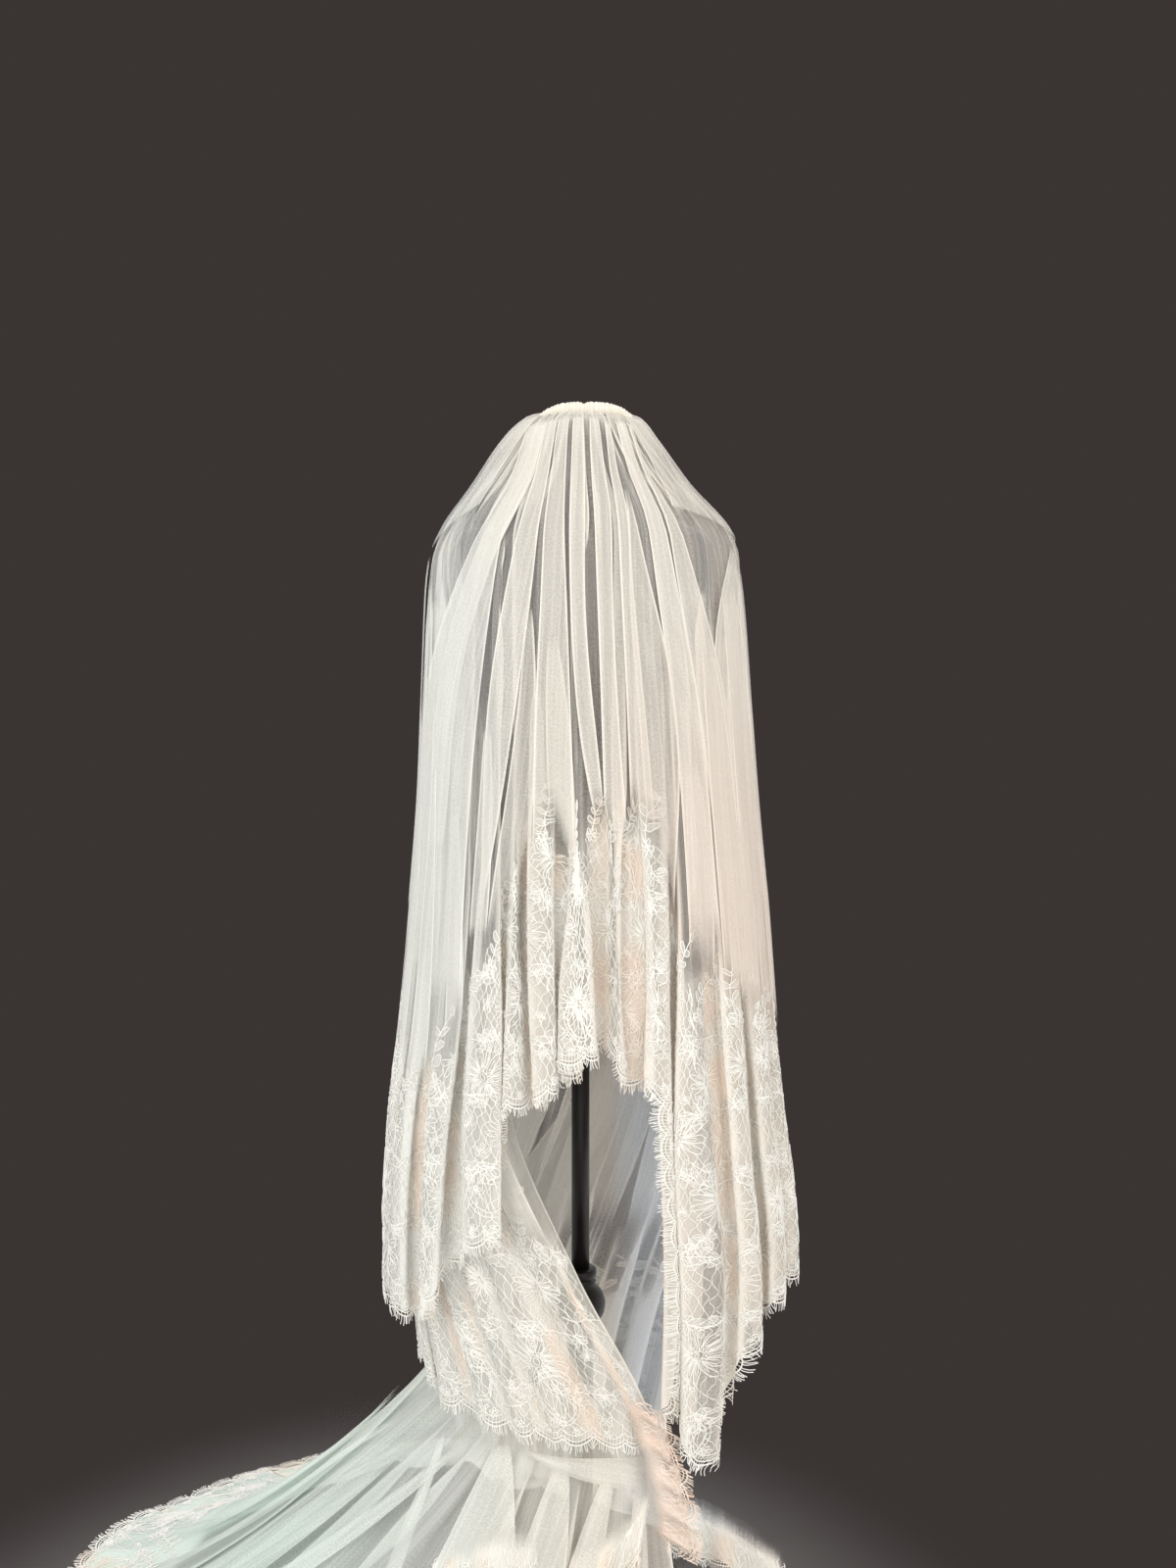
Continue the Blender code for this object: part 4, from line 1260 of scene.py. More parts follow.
    def scallops(self) -> None:
        """Draws the scalloped edge's three lines, with bars and small loops between them."""
        starts = np.arange(0.0, self.length - self.scallop_pitch, self.scallop_pitch)
        t = np.linspace(0.0, 1.0, 11)
        s = starts[:, None] + self.scallop_pitch * t
        for inward, wide in zip(self.scallop_lines, (1.3, 1.0, 0.9)):
            self.threads.draw(self.by_hem(s, inward - self.scallop_depth * bow(t)),
                              self.cord_half * wide)
        t = np.linspace(0.06, 0.94, 9)
        s = (starts[:, None] + self.scallop_pitch * t).ravel()
        reach = np.tile(-self.scallop_depth * bow(t), len(starts))
        for near, far, lean in zip(self.scallop_lines, self.scallop_lines[1:], (0.0, 1.8 * MM)):
            ends = self.by_hem(s, reach + near), self.by_hem(s + lean, reach + far)
            self.threads.draw(np.stack(ends, axis=1), self.vine_half * 0.8, thread=Thread.FINE)
        middles = self.by_hem(starts + self.scallop_pitch / 2, 6.5 * MM)
        turns = self.random.uniform(0.0, math.pi, len(middles))
        drop = placed(petals(5, 0.0012, 0.0058, 0.0019, 7), middles, turns, np.ones(len(middles)))
        self.threads.draw(drop, self.cord_half)

    def fringe(self) -> None:
        """Draws the eyelash threads that hang from the scallops."""
        roots = np.arange(1.0 * MM, self.length - 2 * MM, self.lash_pitch)
        roots = roots + self.random.uniform(-0.8, 0.8, len(roots)) * MM
        share = (roots % self.scallop_pitch) / self.scallop_pitch
        length = self.lash_length * self.random.uniform(0.65, 1.15, len(roots))
        sway = (share - 0.5) * 6.0 * MM + self.random.uniform(-2.4, 2.4, len(roots)) * MM
        fall = np.array([-0.001, 0.35, 0.72, 1.0])
        s = roots[:, None] + sway[:, None] * fall ** 2 * np.sign(fall)
        reach = -self.scallop_depth * bow(share)[:, None] - length[:, None] * fall
        self.lashes.draw(self.by_hem(s, reach), self.lash_half)


# -------------------- The tiers --------------------


@dataclass(frozen=True)
class Crease:
    """A soft ridge or trough along a slanting line of the cloth, so many millimetres out."""

    angle: float
    top: float
    low_angle: float
    low: float
    wide: float
    out: float

    def at(self, angle: Array, z: Array) -> Array:
        """How far it moves the cloth out.

        Args:
            angle: angle round the veil.
            z: height.

        Returns:
            A distance for each place.
        """
        along = (self.top - z) / (self.top - self.low)
        middle = self.angle + (self.low_angle - self.angle) * along
        ends = ease(along / 0.25) * ease((1 - along) / 0.25)
        return self.out * MM * ends * np.exp(-((angle - middle) / self.wide) ** 2)


@dataclass(frozen=True)
class Layer:
    """A large fold's upper layer: where its two edges lie, at even steps from its top down."""

    top: float
    low: float
    left: tuple
    right: tuple
    dense: float
    fade: float = 0.12
    slant: float = 0.0
    start: float = 0.0


@dataclass(frozen=True)
class Bare:
    """A long patch of cloth that hangs without folds."""

    angle: float
    half: float
    top: float
    low: float

    def at(self, angle: Array, z: Array) -> Array:
        """How far the cloth hangs there without folds, from 0 to 1."""
        ends = ease((self.top - z) / 0.07) * ease((z - self.low) / 0.1)
        return ends * np.exp(-((angle - self.angle) / self.half) ** 4)


FRONT_CREASES = rows_of(
    Crease,
    (-60, 1.56, -88, 1.33, 3.2, 2.2), (-44, 1.55, -70, 1.22, 2.6, -1.8),
    (-30, 1.54, -47, 1.15, 2.4, 1.8), (-21, 1.5, -31, 1.2, 1.7, 1.6),
    (-12, 1.46, -10, 0.98, 1.5, -1.4), (1, 1.22, 3, 0.86, 1.5, 1.6), (19, 1.5, 23, 1.05, 1.8, -1.6),
    (33, 1.54, 45, 1.28, 2.2, 2.0), (47, 1.55, 66, 1.3, 2.6, -1.9), (60, 1.56, 85, 1.35, 3.0, 2.3),
    (60, 1.2, 61, 0.66, 2.4, 2.1), (-73, 1.25, -75, 0.7, 2.4, 1.9), (-58, 1.12, -61, 0.62, 2.1, -1.8),
    (-90, 1.34, -91, 0.8, 2.8, -2.0), (-106, 1.44, -106, 0.95, 3.0, 2.2),
    (76, 1.34, 76, 0.84, 2.4, -1.8), (92, 1.4, 93, 0.74, 2.8, 2.1), (108, 1.36, 107, 0.98, 2.8, -2.0),
)
FRONT_LAYERS = rows_of(
    Layer,
    (1.582, 0.85, (-52, -42, -72, -84, -84), (-30, -29, -49, -52, -53), 0.4),
    (1.575, 0.97, (-42, -36, -54, -62, -62), (-30, -27, -42, -49, -55), 0.58),
    (1.53, 0.79, (-34, -39.5, -52, -54, -52.5), (-27, -31, -37, -39, -38), 0.34),
    (1.582, 0.88, (-30, -23, -31, -33, -35), (-19, -15, -20, -27, -35), 0.4),
    (1.582, 0.93, (-18, -13, -14, -15, -14), (-9, -5.6, -3.6, -2, -1), 0.32),
    (1.582, 1.02, (-6, -4, -3, 0, 7), (2, 2, 2, 5, 7), 0.42),
    (1.3, 0.88, (-10, -11, -9, -8), (-9, -3, -1, -1), 0.3),
    (1.582, 0.95, (8, 5, 6, 7, 9), (15, 11, 11, 13, 15), 0.36),
    (1.575, 0.93, (20, 13, 14, 15, 18), (24, 17, 19, 22, 23), 0.4),
    (1.475, 0.9, (19, 16, 18, 20, 21), (20, 24, 31, 30, 28), 0.26, 0.05),
    (1.33, 0.9, (-19, -21, -26, -30), (-17, -14.5, -15.5, -16), 0.16, 0.1),
    (1.582, 0.87, (30, 24, 29, 32, 33), (40, 31, 39, 43, 46), 0.56),
    (1.582, 0.85, (42, 32, 39, 44, 48), (47, 38, 53, 59, 66), 0.34),
    (1.582, 1.423, (40, 42, 37), (84, 92, 98), 0.16, 0.04, -0.036),
    (1.582, 1.424, (-90, -84, -76), (-38, -45, -46), 0.16, 0.04, 0.044),
    (1.416, 0.81, (70, 49, 48, 48, 50), (72, 67, 64, 63, 64), 0.36, 0.05),
    (1.39, 0.79, (71, 66, 64, 66), (74, 84, 86, 86), 0.24, 0.05),
    (1.405, 0.93, (-88, -90, -90, -90), (-80, -83, -85, -86), 0.26, 0.05),
    (1.24, 0.65, (-84, -80, -78, -78), (-83, -68, -66, -66), 0.3),
    (1.16, 0.65, (-60, -60, -61, -60), (-59, -54, -51, -50), 0.26),
    (1.1, 0.69, (-47, -46, -44, -44), (-46, -40, -37, -36), 0.3),
    (1.15, 0.75, (34, 33, 32, 31), (36, 42, 41, 39), 0.3),
    (1.12, 0.73, (47, 50, 52, 52), (49, 62, 63, 62), 0.32),
    (1.06, 0.71, (68, 72, 74, 74), (70, 86, 87, 86), 0.28),
    (1.26, 0.75, (98, 98, 99, 100), (99, 108, 110, 110), 0.34),
    (1.24, 0.75, (112, 113, 114), (122, 124, 123), 0.3),
    (1.27, 0.71, (-98, -106, -107, -106), (-97, -96, -96, -97), 0.34),
    (1.23, 0.73, (-122, -123, -122), (-112, -111, -112), 0.3),
    (1.38, 0.84, (54, 56, 57, 57), (58, 74, 72, 71), 0.16),
    (1.3, 0.82, (42, 43, 44, 45), (44, 54, 56, 55), 0.16),
    (1.25, 0.8, (74, 76, 77, 78), (76, 90, 92, 91), 0.18),
    (1.34, 0.86, (-72, -77, -76, -75), (-70, -70, -70, -70), 0.2),
    (1.26, 0.84, (-64, -66, -66, -65), (-62, -60, -60, -60), 0.16),
    (1.18, 0.9, (-33, -35, -36), (-31, -29, -30), 0.18),
)
BACK_LAYERS = rows_of(
    Layer,
    (1.3, 0.4, (18, 20, 21), (27, 28, 27), 0.58, 0.12, 0.0, 0.4),
    (1.26, 0.38, (29, 31, 35), (37, 41, 45), 0.58, 0.12, 0.0, 0.4),
    (1.32, 0.42, (7, 9, 9), (14, 17, 14), 0.64, 0.12, 0.0, 0.4),
    (1.24, 0.6, (11, 5, 4, 5), (12, 12, 12, 11), 0.34),
    (1.44, 0.4, (19, 17, 16, 17), (20, 24, 22, 21), 0.3),
    (1.575, 0.84, (27, 26, 25, 26), (34, 33, 30, 29), 0.36),
    (1.3, 0.4, (35, 34, 33, 33), (36, 41, 40, 38), 0.32),
    (1.56, 0.62, (44, 43, 43, 44), (50, 51, 49, 48), 0.36),
    (1.24, 0.5, (53, 52, 53, 54), (54, 60, 60, 59), 0.3),
    (1.22, 0.7, (64, 61, 62, 63), (65, 69, 69, 67), 0.34),
    (1.24, 0.6, (73, 72, 71, 71), (74, 80, 79, 78), 0.3),
    (1.2, 0.8, (84, 83, 83, 84), (85, 92, 90, 89), 0.3),
    (0.82, 0.34, (13, 20, 24, 24), (15, 28, 34, 30), 0.4),
    (0.76, 0.38, (36, 37, 36), (38, 44, 42), 0.36), (0.9, 0.5, (68, 69, 69), (70, 75, 76), 0.14),
    (0.88, 0.52, (80, 81, 81), (82, 89, 90), 0.14), (0.86, 0.5, (94, 94, 95), (96, 98, 98.5), 0.34),
)
FRONT_BARE = rows_of(
    Bare,
    (-60, 18, 1.5, 1.29), (53, 19, 1.49, 1.27), (-28, 4, 1.48, 1.34), (-31, 4, 1.41, 1.25),
    (-35, 4, 1.34, 1.12), (-46, 4, 1.34, 1.18), (29, 7, 1.52, 1.22), (-17, 3, 1.48, 1.19),
    (4, 4, 1.44, 1.06), (-100, 34, 1.58, 1.29), (100, 34, 1.58, 1.29), (-35, 3, 1.48, 1.0),
    (5, 5, 1.18, 0.95),
)
BACK_BARE = rows_of(
    Bare,
    (140, 13, 1.02, 0.4), (168, 12, 1.0, 0.4), (208, 14, 1.0, 0.4), (126, 16, 1.53, 1.26),
    (238, 18, 1.54, 1.26), (262, 12, 1.3, 0.9),
)
BACK_CREASES = rows_of(
    Crease,
    (180, 1.18, 180, 0.64, 56.0, 7.5), (112, 1.54, 122, 1.1, 3.0, 1.8),
    (126, 1.5, 134, 0.9, 2.8, -1.7), (143, 1.55, 141, 1.2, 2.6, 1.7), (152, 1.32, 155, 0.66, 3.0, 2.0),
    (164, 1.54, 160, 1.05, 2.6, -1.6), (176, 1.4, 178, 0.72, 2.8, 1.9),
    (188, 1.55, 193, 1.18, 2.4, -1.6), (203, 1.44, 200, 0.6, 3.0, 2.0),
    (214, 1.53, 221, 1.02, 2.7, 1.7), (229, 1.36, 232, 0.78, 2.7, -1.8),
    (243, 1.5, 252, 0.96, 3.0, 1.9), (262, 1.4, 270, 0.7, 3.0, -1.9), (281, 1.18, 296, 0.62, 3.2, 2.2),
    (300, 1.12, 318, 0.66, 3.0, -2.0), (318, 0.98, 340, 0.58, 3.0, 2.2),
)


def between(nodes: Array, number: Array, share: Array) -> Array:
    """Values a share of the way from one node to the next."""
    return nodes[number] + (nodes[number + 1] - nodes[number]) * share


@dataclass
class Pleat:
    """Where points lie in their pleats: in which interval, how far across it, whether that is a
    plain flap, the nearer valley, the flank, how far up the pleat and how far out it stands."""

    number: Array
    share: Array
    flap: Array
    valley: Array
    flank: Array
    rise: Array
    offset: Array

    def depth(self) -> Array:
        """How deep in a valley each point lies, from 0 to 1."""
        return np.where(self.flap, 0.5, 1 - self.rise)

    def turned(self, turn: Array, tuck: Array, edge: float) -> tuple[Array, Array]:
        """Turns the pleats' sides back under them.

        Args:
            turn: how far each side turns back.
            tuck: how far it turns back once more in small tucks.
            edge: how wide the folded edges look.

        Returns:
            How far across its interval each point then lies, and how sharply the cloth turns.
        """
        once, often = 4 * math.pi, 12 * math.pi
        across = self.share + turn * np.sin(once * self.share) + tuck * np.sin(often * self.share)
        slope = (1 + once * turn * np.cos(once * self.share)
                 + often * tuck * np.cos(often * self.share))
        bend = once ** 2 * turn + often ** 2 * tuck
        return across, np.exp(-slope ** 2 / np.maximum(2 * bend * edge, 1e-3))


def rimmed(crease: Array, p: Array) -> Array:
    """How dense the cloth looks, with its two free edges drawn too."""
    return np.maximum(crease, np.exp(-(np.minimum(p, p.max() - p) / 0.1) ** 2))


def sheet(name: str, points: Array, across: Array, numbers: dict[str, Array], strips: list,
          finish: Material) -> Piece:
    """A cloth piece: a grid of points, and the strips of cloth that lie on it.

    Args:
        name: the piece's name.
        points: the grid, its rows running down the cloth.
        across: how far across the cloth each column lies.
        numbers: the grid's point attributes by name.
        strips: the points of each strip, and how dense it looks at each.
        finish: the material.

    Returns:
        The piece.
    """
    grids = [points, *(strip for strip, _ in strips)]
    flats = [np.stack(np.broadcast_arrays(across, arc_lengths(points, 0)), -1)]
    flats += [np.stack([arc_lengths(strip, 1), arc_lengths(strip, 0)], -1) for strip, _ in strips]
    starts = np.cumsum([0] + [grid[..., 0].size for grid in grids])
    faces = [grid_faces(*grid.shape[:2]) + start for grid, start in zip(grids, starts)]
    joined = {}
    for label, values in numbers.items():
        rest = [dense.ravel() * (label == "crease") for _, dense in strips]
        joined[label] = np.concatenate([values.ravel(), *rest])
    return mesh_object(name, np.concatenate([grid.reshape(-1, 3) for grid in grids]),
                       np.concatenate(faces), [finish], joined,
                       np.concatenate([flat.reshape(-1, 2) for flat in flats]))


@dataclass
class Tier:
    """A gathered tier of tulle. Its cloth coordinate `p` counts intervals across it: a plain
    flap at each free edge, and one pleat an interval between. Each pleat is a soft fold whose
    sides turn back under it, so that three layers lie there and one between them. A tier keeps
    three rows of nodes: its valleys' depths, and their places at the middle and at the hem."""

    name: str = "tier"
    side: str = "front"
    hems: Table = FRONT_HEM
    pleat_columns: int = 42
    flap_columns: int = 9
    rows: int = 84
    tuck: float = 0.036
    edge_width: float = 0.034
    overlap: tuple = ((0.0, 0.25), (0.5, 0.28), (0.9, 0.3), (1.25, 0.3), (1.45, 0.28),
                      (1.5875, 0.18))
    lace_step: float = 4.0 * MM
    lace_below: float = 0.034
    lace_above: float = 0.07
    hem_margin: float = 0.003
    reading_height: float = 0.72
    ridges: tuple = ()
    bare: tuple = ()
    grain: tuple = ()
    least: float = -math.inf
    layers: tuple = ()
    layer_unit: float = 1.0
    layer_rows: int = 30
    layer_rim: float = 0.9
    layer_lift: float = 0.9 * MM
    layer_bulge: float = 1.2 * MM
    bare_thin: float = 0.16
    head_fade: float = 0.006
    valleys: Array = field(init=False)
    middles: Array = field(init=False)
    places: Array = field(init=False)

    def place(self, number: Array, across: Array, z: Array, out: Array) -> Array:
        """Points at a share of the way across an interval, moved out."""
        raise NotImplementedError

    def open_at(self, valley: Array, z: Array) -> Array:
        """How far one valley stands open at a height."""
        raise NotImplementedError

    def angle(self, place: Array, z: Array) -> Array:
        """The angle of a place at a height."""
        return place

    def inset(self, z: Array) -> Array:
        """How far the tier lies in from the outer cloth."""
        return 0.0

    def depth(self, z: Array) -> Array:
        """Half the depth of the pleats at a height."""
        return DEPTHS.read(self.side, z)

    def along(self, nodes: Array, p: Array) -> Array:
        """A value at cloth coordinates, from those at the nodes."""
        number = np.clip(np.floor(p), 0, len(nodes) - 2).astype(int)
        return between(nodes, number, p - number)

    def edge(self, p: Array, name: str) -> Array:
        """The hem's or the lace top's height at cloth coordinates."""
        return self.hems.read(name, self.along(self.places, p))

    def calm(self, p: Array, z: Array) -> Array:
        """How far the cloth hangs there without folds, from 0 to 1."""
        angle = self.angle(self.along(self.middles, p), z)
        return np.max([row.at(angle, z) for row in self.bare], axis=0)

    def creases(self, p: Array, z: Array) -> Array:
        """How far the soft creases stand out.

        Args:
            p: cloth coordinate.
            z: height.

        Returns:
            A distance for each place.
        """
        angle = self.angle(self.along(self.middles, p), z)
        moved = sum(row.at(angle, z) for row in self.ridges)
        fine = sum(high * MM * ripple(p * a, z * b, seed) for high, a, b, seed in self.grain)
        return np.maximum(moved + fine * ease((TIER_TOP - z) / 0.1), self.least)

    def columns(self, flap: int, pleat: int) -> Array:
        """The cloth coordinates of a mesh's columns, for so many in each flap and pleat.

        Args:
            flap: columns in each plain flap.
            pleat: columns in each pleat.

        Returns:
            The coordinates, in order.
        """
        last = len(self.valleys) - 2
        cuts = [i + np.arange(pleat) / pleat for i in range(1, last)]
        return np.concatenate([np.linspace(0.0, 1.0, flap, endpoint=False), *cuts,
                               np.linspace(last, last + 1.0, flap + 1)])

    def pleat(self, p: Array) -> Pleat:
        """Where cloth coordinates lie in their pleats.

        Args:
            p: cloth coordinates.

        Returns:
            The interval, place and height of each.
        """
        last = len(self.valleys) - 2
        number = np.clip(np.floor(p), 0, last).astype(int)
        share = p - number
        flap = (number == 0) | (number == last)
        late = share >= 0.5
        rise = np.sin(math.pi * share) ** 2
        low = between(self.valleys, number, share)
        offset = np.where(flap, -low, -low + (1 + low) * rise)
        return Pleat(number, share, flap, number + late, 2 * number + late, rise, offset)

    def surface(self, p: Array, z: Array) -> tuple[Array, Array, Array]:
        """The folded cloth.

        Args:
            p: cloth coordinates across the tier.
            z: heights, in the same shape.

        Returns:
            The points, how sharply the cloth turns back at each (0 to 1), and how deep in a
            valley each lies (0 to 1).
        """
        pleat = self.pleat(p)
        flank = pleat.flank
        uneven = 0.7 + 0.52 * np.sin(flank * 2.4 + 1.1) + 0.34 * np.sin(flank * 1.3 + z * 5.2)
        shut = 1 - 0.9 * np.clip(self.open_at(pleat.valley, z), 0.0, 1.0)
        calm = np.clip(self.calm(p, z), 0.0, 1.0)
        turn = np.interp(z, *zip(*self.overlap)) * np.clip(uneven, 0.0, 1.15) * shut * (1 - calm)
        tuck = np.sin(flank * 3.7 + 0.5) + 0.5 * np.sin(z * 4.0 + flank * 1.1)
        tuck = self.tuck * np.clip(tuck, 0.0, 1.0) * (1 - calm)
        lean = 0.1 * np.sin(pleat.number * 2.4 + 0.8)
        turn, tuck, lean = (np.where(pleat.flap, 0.0, part) for part in (turn, tuck, lean))
        across, sharp = pleat.turned(turn, tuck, self.edge_width)
        folded = np.maximum(ease((turn - 0.05) / 0.07), ease((tuck - 0.018) / 0.014))
        crease = np.where(pleat.flap, 0.0, folded * sharp - self.bare_thin * calm)
        out = self.depth(z) * pleat.offset * (1 - 0.5 * calm) + self.creases(p, z)
        points = self.place(pleat.number, across + lean * pleat.rise, z, out)
        return points, crease, pleat.depth()

    def upper_layers(self) -> list[tuple[Array, Array]]:
        """The upper layers of the large folds, each a strip from high up down the cloth: its
        points, and how dense it looks at each.

        Returns:
            One pair for each strip: its points, and how dense each looks.
        """
        down = np.linspace(0.0, 1.0, self.layer_rows)[:, None]
        rims = np.array([1.0, 0.0, 0.0, 0.0, 0.0, 0.0, 1.0])
        strips = []
        for number, row in enumerate(self.layers):
            left, right = curve(row.left, down), curve(row.right, down)
            rim = np.minimum(self.layer_rim / np.maximum(np.abs(right - left), 0.1), 0.3)
            share = np.concatenate([0 * rim, rim, 0 * rim + 0.3, 0 * rim + 0.5, 0 * rim + 0.7,
                                    1 - rim, 0 * rim + 1.0], axis=1)
            lift = self.layer_lift * (1.0 + 0.4 * (number % 5))
            lift = lift + self.layer_bulge * np.sin(math.pi * share)
            across = left + (right - left) * share
            place = across * self.layer_unit
            z = row.top + (row.low - row.top) * down
            high = row.top + (row.low + row.slant * (share - 0.5) - row.top) * down
            strip = cloth_point(self.angle(place, high), high, self.depth(high) + lift - self.inset(high))
            start = self.head_fade if row.top > 1.57 else max(row.start, row.fade)
            fade = ease(down / start) * ease((1 - down) / row.fade)
            fade = fade * ease((high - self.hems.read("lace", place) + 0.065) / 0.09)
            uneven = 0.1 * ripple(across * 0.9, z * 3.0, number * 1.7)
            uneven = uneven + 0.3 * ease((high - 1.5) / 0.06)
            dense = row.dense + (1.15 - row.dense) * rims + uneven
            strips.append((strip, dense * fade - 1.2 * (1 - fade)))
        return strips

    def reading(self, p: Array) -> Array:
        """How far across the cloth each column lies, read at one height."""
        return arc_lengths(self.surface(p, np.full_like(p, self.reading_height))[0], 0)

    def build(self, finish: Material) -> Piece:
        """Builds the tier's cloth as one sheet of a material.

        Args:
            finish: its material.

        Returns:
            The piece, in the scene.
        """
        p = self.columns(self.flap_columns, self.pleat_columns)
        share = np.linspace(0.0, 1.0, self.rows)[:, None] ** 1.22
        z = TIER_TOP + (self.edge(p, "hem") - self.hem_margin - TIER_TOP) * share
        grid = np.broadcast_to(p, z.shape)
        points, crease, valley = self.surface(grid, z)
        crease = rimmed(crease, grid)
        for dense, start, rise in ((0.9, 1.56, 0.02), (0.34, 1.535, 0.025)):
            crease = np.maximum(crease, dense * ease((z - start) / rise))
        numbers = {"crease": crease, "valley": valley, "lace": ease((self.edge(p, "lace") - z) / 0.05)}
        return sheet(self.name, points, self.reading(p), numbers, self.upper_layers(), finish)

    def lace_cloth(self) -> tuple[ClothMap, Array, Array]:
        """The surface that the tier's lace lies on, reaching past the hem for the scallops and
        the fringe, and along it the hem's height and the lace's top.

        Returns:
            The surface, the hem's height along it and the lace's top.
        """
        p = self.columns(self.flap_columns, self.pleat_columns)
        hem, top = self.edge(p, "hem"), self.edge(p, "lace")
        z = np.arange(hem.min() - self.lace_below, top.max() + self.lace_above, self.lace_step)
        points, _, valley = self.surface(*np.meshgrid(p, z))
        return ClothMap(points, self.reading(p), z[0], self.lace_step, valley), hem, top


@dataclass
class FrontTier(Tier):
    """The front tier: highest at its middle and falling to both sides. Its places are angles."""

    name: str = "front_tier_cloth"
    edge_angle: float = 128.0
    edge_at_top: float = 78.0
    spread_height: float = 1.4
    waist_height: float = 1.1
    hem_height: float = 0.45
    flap_order: float = 0.042
    wander: float = 2.6
    ridges: tuple = FRONT_CREASES
    bare: tuple = FRONT_BARE
    layers: tuple = FRONT_LAYERS
    grain: tuple = ((0.7, 11.0, 3.0, 2.0), (0.9, 1.7, 19.0, 5.0))
    order: Array = field(init=False)

    def __post_init__(self) -> None:
        """Puts the free edges before and after the valleys."""
        waist, hem, depth = FRONT_FOLDS.rows.T
        edge, start = self.edge_angle, 1.0 - self.flap_order
        self.middles, self.places = (np.concatenate(([-edge], row, [edge])) for row in (waist, hem))
        self.order = np.concatenate(([-1.0], np.linspace(-start, start, len(depth)), [1.0]))
        self.valleys = np.concatenate(([0.0], depth, [0.0]))

    def open_at(self, valley: Array, z: Array) -> Array:
        """How far one valley stands open at a height.

        Args:
            valley: the valleys' numbers.
            z: height.

        Returns:
            An amount for each, nought where it is closed.
        """
        total = np.zeros(np.broadcast(valley, z).shape)
        for angle, top, low, wide in FRONT_SLOTS.rows:
            ends = ease((top - z) / 0.09) * ease((z - low) / 0.12)
            total += np.where(valley == np.abs(self.middles - angle).argmin(), wide * ends, 0.0)
        return total

    def place(self, number: Array, across: Array, z: Array, out: Array) -> Array:
        """Points at a share of the way across an interval, moved out.

        Args:
            number: which interval.
            across: the share of the way across it.
            z: height.
            out: how far out from the cloth's middle line.

        Returns:
            The points, one row of x, y and z each.
        """
        top = self.edge_at_top * between(self.order, number, across)
        waist = between(self.middles, number, across)
        hem = between(self.places, number, across)
        spread = ease((TIER_TOP - z) / (TIER_TOP - self.spread_height))
        low = ease((self.waist_height - z) / (self.waist_height - self.hem_height))
        angle = top + (waist + (hem - waist) * low - top) * spread
        sway = self.wander * spread * ripple((number + across) * 2.2, z * 3.4, 3.0)
        return cloth_point(angle + sway, z, out)


@dataclass
class BackTier(Tier):
    """The back tier, drawn round the left side to the front below the waist. Its places are
    shares of the way from the +X edge round to the other."""

    name: str = "back_tier_cloth"
    side: str = "back"
    hems: Table = BACK_HEM
    pleat_columns: int = 28
    rows: int = 78
    pleats: int = 16
    pleat_sway: float = 0.1
    reading_height: float = 0.55
    wander: float = 0.012
    ridges: tuple = BACK_CREASES
    bare: tuple = BACK_BARE
    layers: tuple = BACK_LAYERS
    layer_unit: float = 0.01
    layer_rim: float = 0.35
    grain: tuple = ((0.7, 12.0, 3.0, 8.0), (0.9, 1.9, 17.0, 6.0))
    least: float = -0.2 * MM

    def __post_init__(self) -> None:
        """Places the valleys a little unevenly."""
        pitch = 1.0 / (self.pleats + 0.5)
        number = np.arange(self.pleats)
        start = pitch * (number + 0.25 + self.pleat_sway * np.sin(2.1 * number))
        self.places = self.middles = np.concatenate(([0.0], start, [start[-1] + pitch, 1.0]))
        depth = 0.85 + 0.25 * np.sin(1.7 * number + 0.6)
        self.valleys = np.concatenate(([0.0], depth, [depth[-1], 0.0]))

    def angle(self, place: Array, z: Array) -> Array:
        """The angle of a place at a height."""
        right, left = BACK_SIDES.read("right", z), BACK_SIDES.read("left", z)
        return right + (left - right) * place

    def inset(self, z: Array) -> Array:
        """How far the tier lies in from the outer cloth."""
        return DEPTHS.read("inset", z)

    def calm(self, p: Array, z: Array) -> Array:
        """How far the cloth hangs there without folds, from 0 to 1."""
        drawn = ease((self.along(self.places, p) - 0.66) / 0.12) * ease((1.0 - z) / 0.18)
        return np.maximum(0.85 * drawn * ease((z - 0.1) / 0.2), super().calm(p, z))

    def open_at(self, valley: Array, z: Array) -> Array:
        """How far one valley stands open at a height."""
        wide = 0.5 + 0.5 * np.sin(valley * 2.7 + 1.0)
        return 0.85 * wide * ease((z - 0.3) / 0.25) * ease((1.45 - z) / 0.2)

    def place(self, number: Array, across: Array, z: Array, out: Array) -> Array:
        """Points at a share of the way across an interval, moved out.

        Args:
            number: which interval.
            across: the share of the way across it.
            z: height.
            out: how far out from the cloth's middle line.

        Returns:
            The points, one row of x, y and z each.
        """
        share = between(self.places, number, across)
        spread = ease((TIER_TOP - z) / 0.2)
        share = share + self.wander * spread * ripple(share * 14.0, z * 7.0, 1.5) * share * (1 - share)
        return cloth_point(self.angle(share, z), z, out - self.inset(z))


@dataclass(frozen=True)
class Drape:
    """A loose fold that lies across the train: its middle, in hundredths of the way round and
    of the way out, and its half width in millimetres, at even steps along it."""

    share: tuple
    out: tuple
    half: tuple
    lift: float
    arch: float
    dense: float


